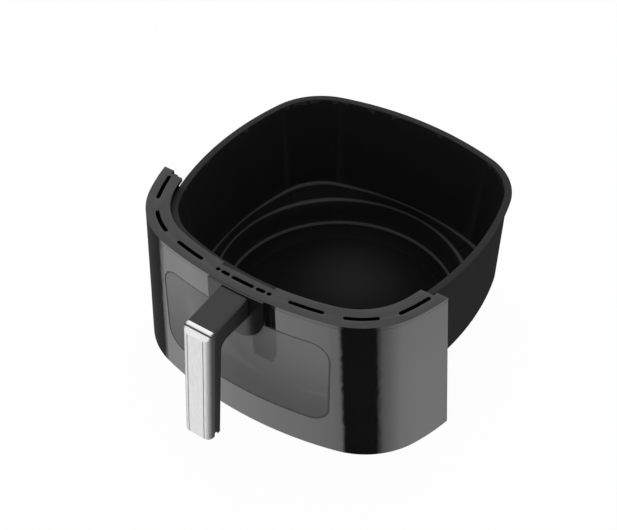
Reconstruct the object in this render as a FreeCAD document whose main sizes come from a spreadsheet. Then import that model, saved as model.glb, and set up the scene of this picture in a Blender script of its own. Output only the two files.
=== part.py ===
import FreeCAD, Part
import math
import os
import Sketcher

# Pull-out drawer of an air fryer: a square pan, a curved front with a window, a vented ring and a handle.
# Millimetres. +Z is up, the front faces -Y, and the origin is the middle of the pan's underside.

SIZES = [
    ("rim_half_x", 120.5, "half width of the pan's rim"),
    ("rim_half_y", 118.4, "half depth of the pan's rim"),
    ("rim_side_radius", 252.0, "bow of the rim's four sides"),
    ("rim_corner_radius", 57.0, "corner of the rim"),
    ("rim_flange", 5.7, "width of the flat rim"),
    ("rim_plate", 2.0, "thickness of the flat rim"),
    ("rim_drop", 9.4, "how far the pan's rim lies below the top of the front"),
    ("pan_wall", 1.6, "thickness of the pan's sheet"),
    ("side_taper", 13.5, "how far the pan's sides lean in from the rim to the corner shelves"),
    ("end_taper", 13.2, "how far the pan's front and back lean in from the rim to the shelves"),
    ("ledge_side_radius", 235.0, "bow of the sides at the shelves"),
    ("ledge_corner_radius", 46.0, "corner of the pan at the shelves"),
    ("ledge_height", 41.0, "outer edge of the corner shelves"),
    ("step_inset", 0.2, "round inner edge of the shelves, in from their outer edge at the front"),
    ("step_height", 32.0, "level of that edge"),
    ("bowl_inset", 5.8, "round crease above the floor, in from the shelves' inner edge"),
    ("bowl_height", 11.0, "level of that crease"),
    ("floor_inset", 9.2, "round floor of the pan, in from that crease"),
    ("pan_crease", 5.0, "radius pressed between the floor and the bowl"),
    ("jacket_wall", 0.9, "thickness of the jacket round the pan"),
    ("jacket_air", 6.5, "air between the pan and its jacket at the shelves"),
    ("jacket_lead", 16.0, "how far the jacket runs on inside the front, ahead of its rear ends"),
    ("front_height", 135.0, "height of the front"),
    ("front_half_width", 133.5, "half width of the front at its top"),
    ("ring_width", 16.8, "width of the vent ring at its middle"),
    ("front_face_radius", 303.0, "bow of the front face"),
    ("front_corner_radius", 68.0, "corner between the face and the sides"),
    ("front_side_radius", 185.0, "bow of the front's sides"),
    ("front_side_centre", 20.2, "widest line of the front, ahead of the pan's middle"),
    ("front_end", 59.4, "rear ends of the front, ahead of the pan's middle"),
    ("end_slant", 5.5, "how much further back those ends reach at the bottom"),
    ("side_flare", 6.1, "how far the sides flare out at the bottom"),
    ("face_flare", 1.05, "how far the face flares out at the bottom"),
    ("skin_wall", 2.5, "thickness of the glossy panel"),
    ("seat_gap", 0.15, "clearance between pieces that seat on each other"),
    ("ring_plate", 3.0, "thickness of the vent ring"),
    ("ring_pan_gap", 3.0, "gap between the ring and the pan's rim"),
    ("ring_overlap", 3.5, "how far the ring reaches in over the rim at the sides"),
    ("ring_rib", 7.0, "depth of the locating rib under the ring"),
    ("ring_rib_wall", 1.5, "thickness of that rib"),
    ("ring_end_step", 3.6, "step at the ring's rear ends"),
    ("ring_end_half", 120.0, "half width between the tips left by that step"),
    ("ring_notch_half", 23.5, "half width of the shallow notch behind the handle"),
    ("ring_notch_depth", 1.6, "depth of that notch"),
    ("slot_width", 3.2, "width of the vent slots"),
    ("slot_inset", 8.8, "line of the vent slots, inside the ring's edge"),
    ("middle_slot_angle", 1.6, "half angle of the middle slot"),
    ("short_slot_start", 2.6, "first angle of the short slots"),
    ("short_slot_finish", 3.5, "last angle of the short slots"),
    ("dot_slot_start", 4.4, "first angle of the dot slots"),
    ("dot_slot_finish", 4.5, "last angle of the dot slots"),
    ("face_slot_start", 7.8, "first angle of the face slots"),
    ("face_slot_finish", 12.6, "last angle of the face slots"),
    ("corner_slot_start", 67.0, "first angle of the corner slots, from straight out to the side"),
    ("corner_slot_finish", 45.0, "last angle of the corner slots"),
    ("side_slot_start", 23.8, "first angle of the side slots"),
    ("side_slot_finish", 15.6, "last angle of the side slots"),
    ("carrier_wall", 2.0, "wall of the inner carrier"),
    ("carrier_floor", 4.0, "floor of the inner carrier"),
    ("carrier_end", 3.0, "end walls of the inner carrier"),
    ("window_half", 75.0, "half width of the smoked pane"),
    ("window_low", 31.0, "lower edge of the smoked pane"),
    ("window_drop", 24.5, "upper edge of the smoked pane, below the top of the front"),
    ("window_corner", 15.0, "corner of the smoked pane"),
    ("window_pane", 3.2, "thickness of the smoked pane"),
    ("window_sink", 0.2, "how far the pane sits behind the panel's face"),
    ("gasket_line", 1.2, "width of the seal that shows round the pane"),
    ("gasket_back", 1.4, "how far the seal reaches behind the panel"),
    ("gasket_lap", 3.0, "how far the seal reaches behind the pane"),
    ("sight_margin", 6.0, "how much smaller the carrier's opening is than the pane"),
    ("base_half", 24.6, "half width of the handle's base"),
    ("base_length", 42.5, "length of the handle's base, down from the top of the front"),
    ("base_proud", 1.8, "thickness of the handle's base on the panel"),
    ("spigot_half", 15.0, "half width of the spigot behind the base"),
    ("spigot_drop", 6.0, "top of the spigot, below the top of the front"),
    ("spigot_depth", 14.4, "height of the spigot"),
    ("handle_width", 24.6, "width of the handle"),
    ("arm_root_drop", 1.2, "top of the arm at the base, below the top of the front"),
    ("arm_end_drop", 4.4, "top of the arm at the trim, below the top of the front"),
    ("arm_depth", 21.2, "underside of the arm, below the top of the front"),
    ("arm_bend", 7.0, "radius under the arm where the grip starts"),
    ("back_top_reach", 32.6, "finger side of the grip at the arm's underside, from the front face"),
    ("back_low_reach", 40.4, "finger side of the grip at its lower end, from the front face"),
    ("split_top_reach", 40.0, "edge of the trim on the grip's side, at the top"),
    ("split_low_reach", 48.2, "edge of the trim on the grip's side, at the lower end"),
    ("trim_top_reach", 47.4, "front of the trim at its bevel, from the front face"),
    ("trim_low_reach", 54.4, "front of the trim at its lower end, from the front face"),
    ("grip_bevel", 5.2, "height of the bevel at the trim's top"),
    ("grip_length", 103.6, "length of the grip, down from the arm's top at the trim"),
    ("grip_end_radius", 5.0, "rounding of the grip's lower end"),
    ("grip_edge", 2.2, "rounding of the handle's long edges"),
    ("trim_wall", 1.0, "thickness of the bright trim"),
    ("trim_edge", 3.4, "rounding of the trim's long edges"),
    ("cover_depth", 4.0, "thickness of the cover on the finger side of the grip"),
    ("cover_drop", 9.8, "top of that cover, below the arm's underside"),
    ("bracket_half", 20.5, "half width of the bracket's channel"),
    ("bracket_foot", 37.0, "half width over the bracket's feet"),
    ("bracket_sheet", 1.5, "thickness of the bracket's sheet"),
    ("bracket_drop", 26.1, "underside of the bracket, below the rim"),
    ("bracket_rim_gap", 0.6, "gap between the bracket and the rim"),
    ("pan_window_half", 58.0, "half width of the opening in the pan"),
    ("pan_window_rise", 11.0, "lower edge of that opening, above the corner shelves"),
    ("pan_frame_gap", 3.5, "gap between the frame round that opening and the bracket above it"),
    ("pan_window_corner", 10.0, "corner of that opening"),
    ("pan_seal", 1.2, "thickness of the seal on the pan"),
    ("pan_pane", 3.0, "thickness of the pane on the pan"),
    ("pan_pane_lap", 5.0, "how far that pane laps the opening"),
    ("pan_frame_lip", 1.0, "lip of the frame over that pane"),
    ("pan_frame_lap", 2.0, "how far the lip stands back from the opening"),
    ("pan_frame_margin", 9.0, "frame around the opening, above and below"),
    ("pan_frame_ear", 15.0, "frame around the opening, at the ends"),
    ("rivet_radius", 1.6, "shank of the rivets"),
    ("rivet_head", 3.2, "head radius of the rivets"),
    ("rivet_dome", 1.2, "head height of the rivets"),
    ("rivet_spread", 28.8, "bracket rivets from the middle"),
    ("rivet_rise", 5.5, "lower bracket rivets, above the bracket's underside"),
    ("rivet_pitch", 12.0, "upper bracket rivets, above the lower ones"),
    ("frame_rivet_inset", 4.6, "frame rivets from the frame's end"),
    ("frame_rivet_spread", 11.0, "frame rivets from the middle of the opening"),
    ("handle_screw_radius", 2.5, "shank of the handle screws"),
    ("handle_screw_head", 4.4, "head radius of the handle screws"),
    ("handle_screw_rise", 3.2, "head height of the handle screws"),
    ("handle_screw_spread", 8.0, "handle screws from the middle"),
    ("handle_screw_lift", 4.4, "handle screws, above the spigot's underside"),
    ("handle_screw_bite", 14.0, "length of the handle screws in the arm"),
    ("small_screw_radius", 1.5, "shank of the small screws"),
    ("small_screw_head", 2.9, "head radius of the small screws"),
    ("small_screw_rise", 2.0, "head height of the small screws"),
    ("small_screw_bite", 7.0, "length of the small screws in their bosses"),
    ("boss_radius", 3.6, "outside of the screw bosses"),
    ("boss_rise", 12.0, "height of the panel's bosses"),
    ("carrier_screw_spread", 14.0, "carrier screws from the middle"),
    ("carrier_screw_lift", 6.5, "carrier screws, above the bracket's underside"),
    ("skin_screw_angle", 9.0, "skin screws on the face, from the middle"),
    ("skin_corner_angle", 50.0, "skin screws at the corners, from straight out to the side"),
    ("trim_screw_rise", 19.0, "lower trim screw, above the grip's lower end"),
    ("trim_screw_pitch", 46.0, "upper trim screw, above the lower one"),
    ("screw_gap", 0.1, "clearance round screws and rivets"),
]

doc = FreeCAD.newDocument("fryer_drawer")
sheet = doc.addObject("Spreadsheet::Sheet", "dims")
for row, (alias, default, meaning) in enumerate(SIZES, start=1):
    sheet.set(f"A{row}", meaning)
    sheet.set(f"B{row}", str(default))
    sheet.setAlias(f"B{row}", alias)
doc.recompute()

Vector = FreeCAD.Vector
UP = Vector(0, 0, 1)
START, END, CENTRE = range(1, 4)
HORIZONTAL_AXIS, VERTICAL_AXIS = range(-1, -3, -1)
ORIGIN_POINT = (HORIZONTAL_AXIS, START)


class Size:
    """A number with the sheet expression that drives it, so that both are worked out together."""

    def __init__(self, value, text):
        self.value = value
        self.text = text

    def __add__(self, other):
        other = as_size(other)
        return Size(self.value + other.value, f"({self.text} + {other.text})")

    def __sub__(self, other):
        other = as_size(other)
        return Size(self.value - other.value, f"({self.text} - {other.text})")

    def __mul__(self, other):
        other = as_size(other)
        return Size(self.value * other.value, f"({self.text} * {other.text})")

    def __truediv__(self, other):
        other = as_size(other)
        return Size(self.value / other.value, f"({self.text} / {other.text})")

    def __neg__(self):
        return Size(-self.value, f"(0 - {self.text})")


def as_size(number):
    return number if isinstance(number, Size) else Size(float(number), repr(float(number)))


def dim(alias):
    return Size(float(sheet.get(alias)), f"dims.{alias}")


def bind(feature, prop, size):
    feature.setExpression(prop, size.text)


# Sketches

def flat_sketch(name, level):
    """A sketch in a level plane."""
    sketch = doc.addObject("Sketcher::SketchObject", name)
    sketch.Placement = FreeCAD.Placement(Vector(0, 0, level.value), FreeCAD.Rotation())
    bind(sketch, "Placement.Base.z", level)
    return sketch


def face_sketch(name):
    """A sketch seen from the front: x to the right, y up, and its normal to the front."""
    sketch = doc.addObject("Sketcher::SketchObject", name)
    sketch.Placement = FreeCAD.Placement(Vector(), FreeCAD.Rotation(Vector(1, 0, 0), 90))
    return sketch


def hold(sketch, constraint, size):
    """Add a constraint that has a size, and bind it to the sheet."""
    index = sketch.addConstraint(constraint)
    bind(sketch, f"Constraints[{index}]", size)


def hold_x(sketch, geometry, point, size):
    hold(sketch, Sketcher.Constraint("DistanceX", *ORIGIN_POINT, geometry, point, size.value), size)


def hold_y(sketch, geometry, point, size):
    hold(sketch, Sketcher.Constraint("DistanceY", *ORIGIN_POINT, geometry, point, size.value), size)


def hold_radius(sketch, geometry, size):
    hold(sketch, Sketcher.Constraint("Radius", geometry, size.value), size)


def add_line(sketch, start, end):
    return sketch.addGeometry(Part.LineSegment(start, end), False)


def add_arc(sketch, centre, radius, start, end):
    """An anticlockwise arc between two directions in radians."""
    while end < start:
        end += 2 * math.pi
    return sketch.addGeometry(Part.ArcOfCircle(Part.Circle(centre, UP, radius), start, end), False)


def join(sketch, first, second):
    sketch.addConstraint(Sketcher.Constraint("Coincident", first, END, second, START))


def blend(sketch, first, second):
    sketch.addConstraint(Sketcher.Constraint("Tangent", first, END, second, START))


def heading(start, end):
    return math.atan2(end.y - start.y, end.x - start.x)


def corner_centre(centre_a, reach_a, centre_b, reach_b, near):
    """The point at two given distances from two centres, on the side of a third point."""
    base = centre_b - centre_a
    along = (reach_a ** 2 - reach_b ** 2 + base.Length ** 2) / (2 * base.Length)
    across = math.sqrt(reach_a ** 2 - along ** 2)
    foot = centre_a + base * (along / base.Length)
    side = Vector(-base.y, base.x, 0) * (across / base.Length)
    return min((foot + side, foot - side), key=lambda point: (point - near).Length)


def polygon(sketch, corners):
    """A closed outline of straight lines through corners given as pairs of sizes."""
    points = [Vector(x.value, y.value, 0) for x, y in corners]
    lines = [add_line(sketch, points[i - 1], points[i]) for i in range(len(points))]
    for i, line in enumerate(lines):
        join(sketch, lines[i - 1], line)
    for line, (x, y) in zip(lines, corners):
        hold_x(sketch, line, END, x)
        hold_y(sketch, line, END, y)
    return sketch


def rounded_plate(name, half, low, high, corner):
    """A rounded rectangle seen from the front, even about the middle."""
    sketch = face_sketch(name)
    across, bottom, top, radius = half.value, low.value, high.value, corner.value
    inner = across - radius
    right_low = Vector(inner, bottom + radius, 0)
    right_high = Vector(inner, top - radius, 0)
    left_high = Vector(-inner, top - radius, 0)
    left_low = Vector(-inner, bottom + radius, 0)
    quarter = math.pi / 2
    floor = add_line(sketch, Vector(-inner, bottom, 0), Vector(inner, bottom, 0))
    arc_a = add_arc(sketch, right_low, radius, -quarter, 0)
    right = add_line(sketch, Vector(across, bottom + radius, 0), Vector(across, top - radius, 0))
    arc_b = add_arc(sketch, right_high, radius, 0, quarter)
    roof = add_line(sketch, Vector(inner, top, 0), Vector(-inner, top, 0))
    arc_c = add_arc(sketch, left_high, radius, quarter, 2 * quarter)
    left = add_line(sketch, Vector(-across, top - radius, 0), Vector(-across, bottom + radius, 0))
    arc_d = add_arc(sketch, left_low, radius, 2 * quarter, 3 * quarter)
    chain = [floor, arc_a, right, arc_b, roof, arc_c, left, arc_d]
    for i, piece in enumerate(chain):
        blend(sketch, chain[i - 1], piece)
    for line in (floor, roof):
        sketch.addConstraint(Sketcher.Constraint("Horizontal", line))
    for line in (left, right):
        sketch.addConstraint(Sketcher.Constraint("Vertical", line))
    for arc in (arc_b, arc_c, arc_d):
        sketch.addConstraint(Sketcher.Constraint("Equal", arc_a, arc))
    hold_radius(sketch, arc_a, corner)
    hold_x(sketch, right, START, half)
    hold_x(sketch, left, START, -half)
    hold_y(sketch, floor, START, low)
    hold_y(sketch, roof, START, high)
    return sketch


def tongue_plate(name, half, low, high):
    """A plate with straight sides and a half-round lower end, seen from the front."""
    sketch = face_sketch(name)
    centre = Vector(0, low.value + half.value, 0)
    roof = add_line(sketch, Vector(half.value, high.value, 0), Vector(-half.value, high.value, 0))
    left = add_line(sketch, Vector(-half.value, high.value, 0), Vector(-half.value, centre.y, 0))
    arc = add_arc(sketch, centre, half.value, math.pi, 2 * math.pi)
    right = add_line(sketch, Vector(half.value, centre.y, 0), Vector(half.value, high.value, 0))
    join(sketch, roof, left)
    blend(sketch, left, arc)
    blend(sketch, arc, right)
    join(sketch, right, roof)
    sketch.addConstraint(Sketcher.Constraint("Horizontal", roof))
    sketch.addConstraint(Sketcher.Constraint("Vertical", left))
    hold_radius(sketch, arc, half)
    hold_x(sketch, left, START, -half)
    hold_y(sketch, roof, START, high)
    hold_y(sketch, arc, CENTRE, low + half)
    return sketch


def bowed_square(name, level, half_x, half_y, bow, corner):
    """A level outline of four bowed sides and four tangent corners."""
    sketch = flat_sketch(name, level)
    turn = math.pi / 2
    side_x = Vector(half_x.value - bow.value, 0, 0)
    side_y = Vector(0, half_y.value - bow.value, 0)
    reach = bow.value - corner.value
    middle = corner_centre(side_x, reach, side_y, reach, Vector(half_x.value, half_y.value, 0))
    first = heading(side_x, middle)
    last = heading(side_y, middle)
    sides = [
        add_arc(sketch, side_x, bow.value, -first, first),
        add_arc(sketch, side_y, bow.value, last, 2 * turn - last),
        add_arc(sketch, -side_x, bow.value, 2 * turn - first, 2 * turn + first),
        add_arc(sketch, -side_y, bow.value, 2 * turn + last, 4 * turn - last),
    ]
    corners = [
        add_arc(sketch, middle, corner.value, first, last),
        add_arc(sketch, Vector(-middle.x, middle.y, 0), corner.value, 2 * turn - last, 2 * turn - first),
        add_arc(sketch, -middle, corner.value, 2 * turn + first, 2 * turn + last),
        add_arc(sketch, Vector(middle.x, -middle.y, 0), corner.value, 4 * turn - last, 4 * turn - first),
    ]
    for i, corner_arc in enumerate(corners):
        blend(sketch, sides[i], corner_arc)
        blend(sketch, corner_arc, sides[(i + 1) % 4])
    for i in range(1, 4):
        sketch.addConstraint(Sketcher.Constraint("Equal", sides[0], sides[i]))
        sketch.addConstraint(Sketcher.Constraint("Equal", corners[0], corners[i]))
    hold_radius(sketch, sides[0], bow)
    hold_radius(sketch, corners[0], corner)
    for i, axis in ((0, HORIZONTAL_AXIS), (1, VERTICAL_AXIS), (2, HORIZONTAL_AXIS), (3, VERTICAL_AXIS)):
        sketch.addConstraint(Sketcher.Constraint("PointOnObject", sides[i], CENTRE, axis))
    hold_x(sketch, sides[0], CENTRE, half_x - bow)
    hold_y(sketch, sides[1], CENTRE, half_y - bow)
    hold_x(sketch, sides[2], CENTRE, bow - half_x)
    hold_y(sketch, sides[3], CENTRE, bow - half_y)
    return sketch


class FrontArcs:
    """The three tangent arcs of the front's outline at one level: face, corner and side."""

    def __init__(self, level):
        share = as_size(1) - level / dim("front_height")
        half = dim("front_half_width") + share * dim("side_flare")
        reach = front_reach + share * dim("face_flare")
        self.face_radius = dim("front_face_radius")
        self.corner_radius = dim("front_corner_radius")
        self.side_radius = dim("front_side_radius")
        self.face_y = self.face_radius - reach
        self.side_x = half - self.side_radius
        self.side_y = -dim("front_side_centre")
        self.face = Vector(0, self.face_y.value, 0)
        self.side = Vector(self.side_x.value, self.side_y.value, 0)
        self.corner = corner_centre(
            self.face, self.face_radius.value - self.corner_radius.value,
            self.side, self.side_radius.value - self.corner_radius.value,
            Vector(half.value, -reach.value, 0))

    def face_point(self, inset, degrees):
        """A point inside the face, at an angle from the middle."""
        radius = self.face_radius.value - inset
        angle = math.radians(degrees)
        return self.face + Vector(radius * math.sin(angle), -radius * math.cos(angle), 0)

    def corner_point(self, inset, degrees):
        """A point inside the right corner, at an angle from straight out to the side."""
        radius = self.corner_radius.value - inset
        angle = math.radians(degrees)
        return self.corner + Vector(radius * math.cos(angle), -radius * math.sin(angle), 0)


def mirrored(point):
    return Vector(-point.x, point.y, point.z)


def front_outline(name, level, inset, back):
    """The front's outline at one level, moved in by an inset and closed by a straight line at the back."""
    back = back + (as_size(1) - level / dim("front_height")) * dim("end_slant")
    arcs = FrontArcs(level)
    sketch = flat_sketch(name, level)
    face_radius = arcs.face_radius - inset
    corner_radius = arcs.corner_radius - inset
    side_radius = arcs.side_radius - inset
    to_corner = heading(arcs.face, arcs.corner)
    to_side = heading(arcs.side, arcs.corner)
    to_end = math.asin((back.value - arcs.side.y) / side_radius.value)
    half_turn = math.pi
    face = add_arc(sketch, arcs.face, face_radius.value, -half_turn - to_corner, to_corner)
    right_corner = add_arc(sketch, arcs.corner, corner_radius.value, to_corner, to_side)
    right = add_arc(sketch, arcs.side, side_radius.value, to_side, to_end)
    end_x = arcs.side.x + side_radius.value * math.cos(to_end)
    rear = add_line(sketch, Vector(end_x, back.value, 0), Vector(-end_x, back.value, 0))
    left = add_arc(sketch, mirrored(arcs.side), side_radius.value, half_turn - to_end, half_turn - to_side)
    left_corner = add_arc(sketch, mirrored(arcs.corner), corner_radius.value,
                          half_turn - to_side, half_turn - to_corner)
    blend(sketch, face, right_corner)
    blend(sketch, right_corner, right)
    join(sketch, right, rear)
    join(sketch, rear, left)
    blend(sketch, left, left_corner)
    blend(sketch, left_corner, face)
    hold_radius(sketch, face, face_radius)
    hold_radius(sketch, right_corner, corner_radius)
    hold_radius(sketch, right, side_radius)
    sketch.addConstraint(Sketcher.Constraint("Equal", right_corner, left_corner))
    sketch.addConstraint(Sketcher.Constraint("Equal", right, left))
    sketch.addConstraint(Sketcher.Constraint("PointOnObject", face, CENTRE, VERTICAL_AXIS))
    hold_y(sketch, face, CENTRE, arcs.face_y)
    hold_x(sketch, right, CENTRE, arcs.side_x)
    hold_y(sketch, right, CENTRE, arcs.side_y)
    hold_x(sketch, left, CENTRE, -arcs.side_x)
    hold_y(sketch, left, CENTRE, arcs.side_y)
    hold_y(sketch, rear, START, back)
    sketch.addConstraint(Sketcher.Constraint("Horizontal", rear))
    return sketch


# Solids

def loft(name, sections):
    solid = doc.addObject("Part::Loft", name)
    solid.Sections = sections
    solid.Solid = True
    solid.Ruled = True
    return solid


def prism(name, sketch, length):
    solid = doc.addObject("Part::Extrusion", name)
    solid.Base = sketch
    solid.DirMode = "Normal"
    solid.Solid = True
    bind(solid, "LengthFwd", length)
    return solid


def box(name, low, high):
    """A box between two corners given as triples of sizes."""
    solid = doc.addObject("Part::Box", name)
    for axis, side, lower, upper in zip("xyz", ("Length", "Width", "Height"), low, high):
        bind(solid, f"Placement.Base.{axis}", lower)
        bind(solid, side, upper - lower)
    return solid


def cut(name, base, tool):
    solid = doc.addObject("Part::Cut", name)
    solid.Base = base
    solid.Tool = tool
    return solid


def common(name, *shapes):
    solid = doc.addObject("Part::MultiCommon", name)
    solid.Shapes = list(shapes)
    return solid


def fuse(name, *shapes):
    solid = doc.addObject("Part::MultiFuse", name)
    solid.Shapes = list(shapes)
    return solid


def group(name, shapes):
    solid = doc.addObject("Part::Compound", name)
    solid.Links = list(shapes)
    return solid


def cylinder(name, radius, height, foot, rotation=None):
    solid = doc.addObject("Part::Cylinder", name)
    bind(solid, "Radius", radius)
    bind(solid, "Height", height)
    solid.Placement = FreeCAD.Placement(foot, rotation or FreeCAD.Rotation())
    return solid


def rounded(name, base, pick, radius):
    """Fillet the edges that a test picks."""
    doc.recompute()
    edges = [i for i, edge in enumerate(base.Shape.Edges, start=1) if pick(edge)]
    solid = doc.addObject("Part::Fillet", name)
    solid.Base = base
    solid.Edges = [(i, radius.value, radius.value) for i in edges]
    return solid


def lies_at(edge, level, tolerance=0.01):
    bounds = edge.BoundBox
    return abs(bounds.ZMin - level) < tolerance and abs(bounds.ZMax - level) < tolerance


pieces = {}


def finish(label, solid):
    """Give a finished solid the name of its piece."""
    solid.Label = label
    pieces[label] = solid
    return solid


TO_FRONT = FreeCAD.Rotation(Vector(1, 0, 0), 90)
UPRIGHT = FreeCAD.Rotation()
front_height = dim("front_height")
seat = dim("seat_gap")
ring_low = front_height - dim("ring_plate")
front_back = -dim("front_end")
front_reach = dim("rim_half_y") + dim("ring_pan_gap") + dim("ring_width")
rim_height = front_height - dim("rim_drop")
window_high = front_height - dim("window_drop")
base_low = front_height - dim("base_length")
spigot_high = front_height - dim("spigot_drop")
spigot_low = spigot_high - dim("spigot_depth")
bracket_low = rim_height - dim("bracket_drop")
pan_window_low = dim("ledge_height") + dim("pan_window_rise")
pan_window_high = bracket_low - dim("pan_frame_gap") - dim("pan_frame_margin")
ledge_half_x = dim("rim_half_x") - dim("side_taper")
ledge_half_y = dim("rim_half_y") - dim("end_taper")
step_radius = ledge_half_y - dim("step_inset")
bowl_radius = step_radius - dim("bowl_inset")
arm_top_root = front_height - dim("arm_root_drop")
arm_top_end = front_height - dim("arm_end_drop")
arm_under = front_height - dim("arm_depth")
grip_low = arm_top_end - dim("grip_length")
grip_back_top = front_reach + dim("back_top_reach")
grip_back_low = front_reach + dim("back_low_reach")
grip_split_top = front_reach + dim("split_top_reach")
grip_split_low = front_reach + dim("split_low_reach")
grip_front_top = front_reach + dim("trim_top_reach")
grip_front_low = front_reach + dim("trim_low_reach")
prism_reach = grip_front_low * 1.2


# The pan

def ledge_directions():
    """The two directions, seen from the pan's middle, where a corner of the shelves starts and ends."""
    bow = dim("ledge_side_radius").value
    corner = dim("ledge_corner_radius").value
    half_x = ledge_half_x.value
    half_y = ledge_half_y.value
    side_x = Vector(half_x - bow, 0, 0)
    side_y = Vector(0, half_y - bow, 0)
    middle = corner_centre(side_x, bow - corner, side_y, bow - corner, Vector(half_x, half_y, 0))
    ends = [middle + (middle - side).normalize() * corner for side in (side_x, side_y)]
    return [heading(Vector(), end) for end in ends]


def round_outline(name, level, radius):
    """A level circle in eight arcs that face the eight arcs of the shelves' outline."""
    sketch = flat_sketch(name, level)
    first, last = ledge_directions()
    half_turn = math.pi
    cuts = [-first, first, last, half_turn - last, half_turn - first, half_turn + first, half_turn + last,
            2 * half_turn - last, 2 * half_turn - first]
    arcs = [add_arc(sketch, Vector(), radius.value, start, end) for start, end in zip(cuts, cuts[1:])]
    for arc in arcs:
        sketch.addConstraint(Sketcher.Constraint("Coincident", arc, CENTRE, *ORIGIN_POINT))
        hold_radius(sketch, arc, radius)
    return sketch


def ledge_outline(prefix, spread, drop):
    return bowed_square(f"{prefix}_ledge", dim("ledge_height") - drop,
                        ledge_half_x + spread, ledge_half_y + spread,
                        dim("ledge_side_radius") + spread, dim("ledge_corner_radius") + spread)


def rim_outline(name, level, spread):
    return bowed_square(name, level, dim("rim_half_x") + spread, dim("rim_half_y") + spread,
                        dim("rim_side_radius") + spread, dim("rim_corner_radius") + spread)


def pan_form(prefix, spread, drop):
    """The whole pressed form, from the round floor up to the square rim."""
    form = loft(f"{prefix}_form", [
        round_outline(f"{prefix}_floor", dim("pan_wall") - drop, bowl_radius - dim("floor_inset") + spread),
        round_outline(f"{prefix}_bowl", dim("bowl_height") - drop, bowl_radius + spread),
        round_outline(f"{prefix}_step", dim("step_height") - drop, step_radius + spread),
        ledge_outline(prefix, spread, drop),
        rim_outline(f"{prefix}_rim", rim_height, spread - dim("rim_flange")),
    ])
    floor_level = (dim("pan_wall") - drop).value
    return rounded(f"{prefix}_pressed", form, lambda edge: lies_at(edge, floor_level),
                   dim("pan_crease") + spread)


def pan_walls(prefix, spread):
    """Everything inside the pan's straight walls, spread outwards from their outer face."""
    outwards = dim("pan_wall") + spread
    return loft(f"{prefix}_walls", [
        ledge_outline(prefix, outwards, dim("pan_wall")),
        rim_outline(f"{prefix}_rim", rim_height, outwards - dim("rim_flange")),
    ])


def pan_layer(prefix, inner, outer):
    """A layer that wraps the pan's walls, between two distances from their outer face."""
    return cut(f"{prefix}_layer", pan_walls(f"{prefix}_far", outer), pan_walls(f"{prefix}_near", inner))


def rim_prism(name, spread):
    """A straight post with the rim's outline, spread outwards, taller than the whole front."""
    return prism(name, rim_outline(f"{name}_edge", -dim("carrier_floor"), spread),
                 front_height + dim("carrier_floor") * 2)


def wall_point(across, level, spread):
    """A point on the outer face of the pan's front wall, and the direction out of that wall."""
    low = (dim("ledge_height") - dim("pan_wall")).value
    climb = rim_height.value - low
    rise = (level - low) / climb
    wall = dim("pan_wall").value + spread
    rim_half = dim("rim_half_y").value - dim("rim_flange").value
    rim_bow = dim("rim_side_radius").value - dim("rim_flange").value
    half = wall + ledge_half_y.value * (1 - rise) + rim_half * rise
    bow = wall + dim("ledge_side_radius").value * (1 - rise) + rim_bow * rise
    lean = (rim_half - ledge_half_y.value) / climb
    depth = math.sqrt(bow ** 2 - across ** 2)
    outwards = Vector(across, -depth, 0).normalize() - UP * lean
    return Vector(across, bow - half - depth, level), outwards.normalize()


# Fasteners

def screw(name, seat_point, rotation, radius, length, head, rise):
    """A screw whose head sits behind its seat and whose shank runs on past it."""
    axis = rotation.multVec(UP)
    crown = doc.addObject("Part::Cone", f"{name}_head")
    bind(crown, "Radius1", head * 0.75)
    bind(crown, "Radius2", head)
    bind(crown, "Height", rise)
    crown.Placement = FreeCAD.Placement(seat_point - axis * rise.value, rotation)
    shank = cylinder(f"{name}_shank", radius, length, seat_point, rotation)
    return fuse(name, crown, shank)


def rivet(name, outer_point, outwards, grip):
    """A rivet with a head on both faces of what it grips."""
    rotation = FreeCAD.Rotation(UP, outwards)
    crown = doc.addObject("Part::Cone", f"{name}_crown")
    bind(crown, "Radius1", dim("rivet_head"))
    bind(crown, "Radius2", dim("rivet_head") * 0.7)
    bind(crown, "Height", dim("rivet_dome"))
    crown.Placement = FreeCAD.Placement(outer_point, rotation)
    inner_point = outer_point - outwards * grip.value
    shank = cylinder(f"{name}_shank", dim("rivet_radius"), grip, inner_point, rotation)
    tail = doc.addObject("Part::Cone", f"{name}_tail")
    bind(tail, "Radius1", dim("rivet_head") * 0.7)
    bind(tail, "Radius2", dim("rivet_head"))
    bind(tail, "Height", dim("rivet_dome"))
    tail.Placement = FreeCAD.Placement(inner_point - outwards * dim("rivet_dome").value, rotation)
    return fuse(name, crown, shank, tail)


def drill(name, point, rotation, radius, length):
    """A round cutter that runs both ways from a point."""
    axis = rotation.multVec(UP)
    return cylinder(name, radius, length * 2, point - axis * length.value, rotation)


pan_wall = dim("pan_wall")
nothing = as_size(0)
front_side = -prism_reach
screw_gap = dim("screw_gap")
rivet_hole = dim("rivet_radius") + screw_gap
small_hole = dim("small_screw_radius") + screw_gap
handle_hole = dim("handle_screw_radius") + screw_gap
bracket_high = rim_height - dim("rim_plate") - dim("bracket_rim_gap")

bracket_spread = seat + dim("bracket_sheet")
bracket_rivets = []
bracket_drills = []
rivet_low = bracket_low + dim("rivet_rise")
rivet_levels = {"low": rivet_low, "high": rivet_low + dim("rivet_pitch")}
for side, hand in ((-1, "left"), (1, "right")):
    for place, level in rivet_levels.items():
        name = f"bracket_rivet_{hand}_{place}"
        point, outwards = wall_point(side * dim("rivet_spread").value, level.value,
                                     (bracket_spread + seat).value)
        grip = bracket_spread + pan_wall + seat * 2
        bracket_rivets.append(rivet(name, point, outwards, grip))
        bracket_drills.append(drill(f"{name}_drill", point, FreeCAD.Rotation(UP, outwards), rivet_hole,
                                    grip * 2))

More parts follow.
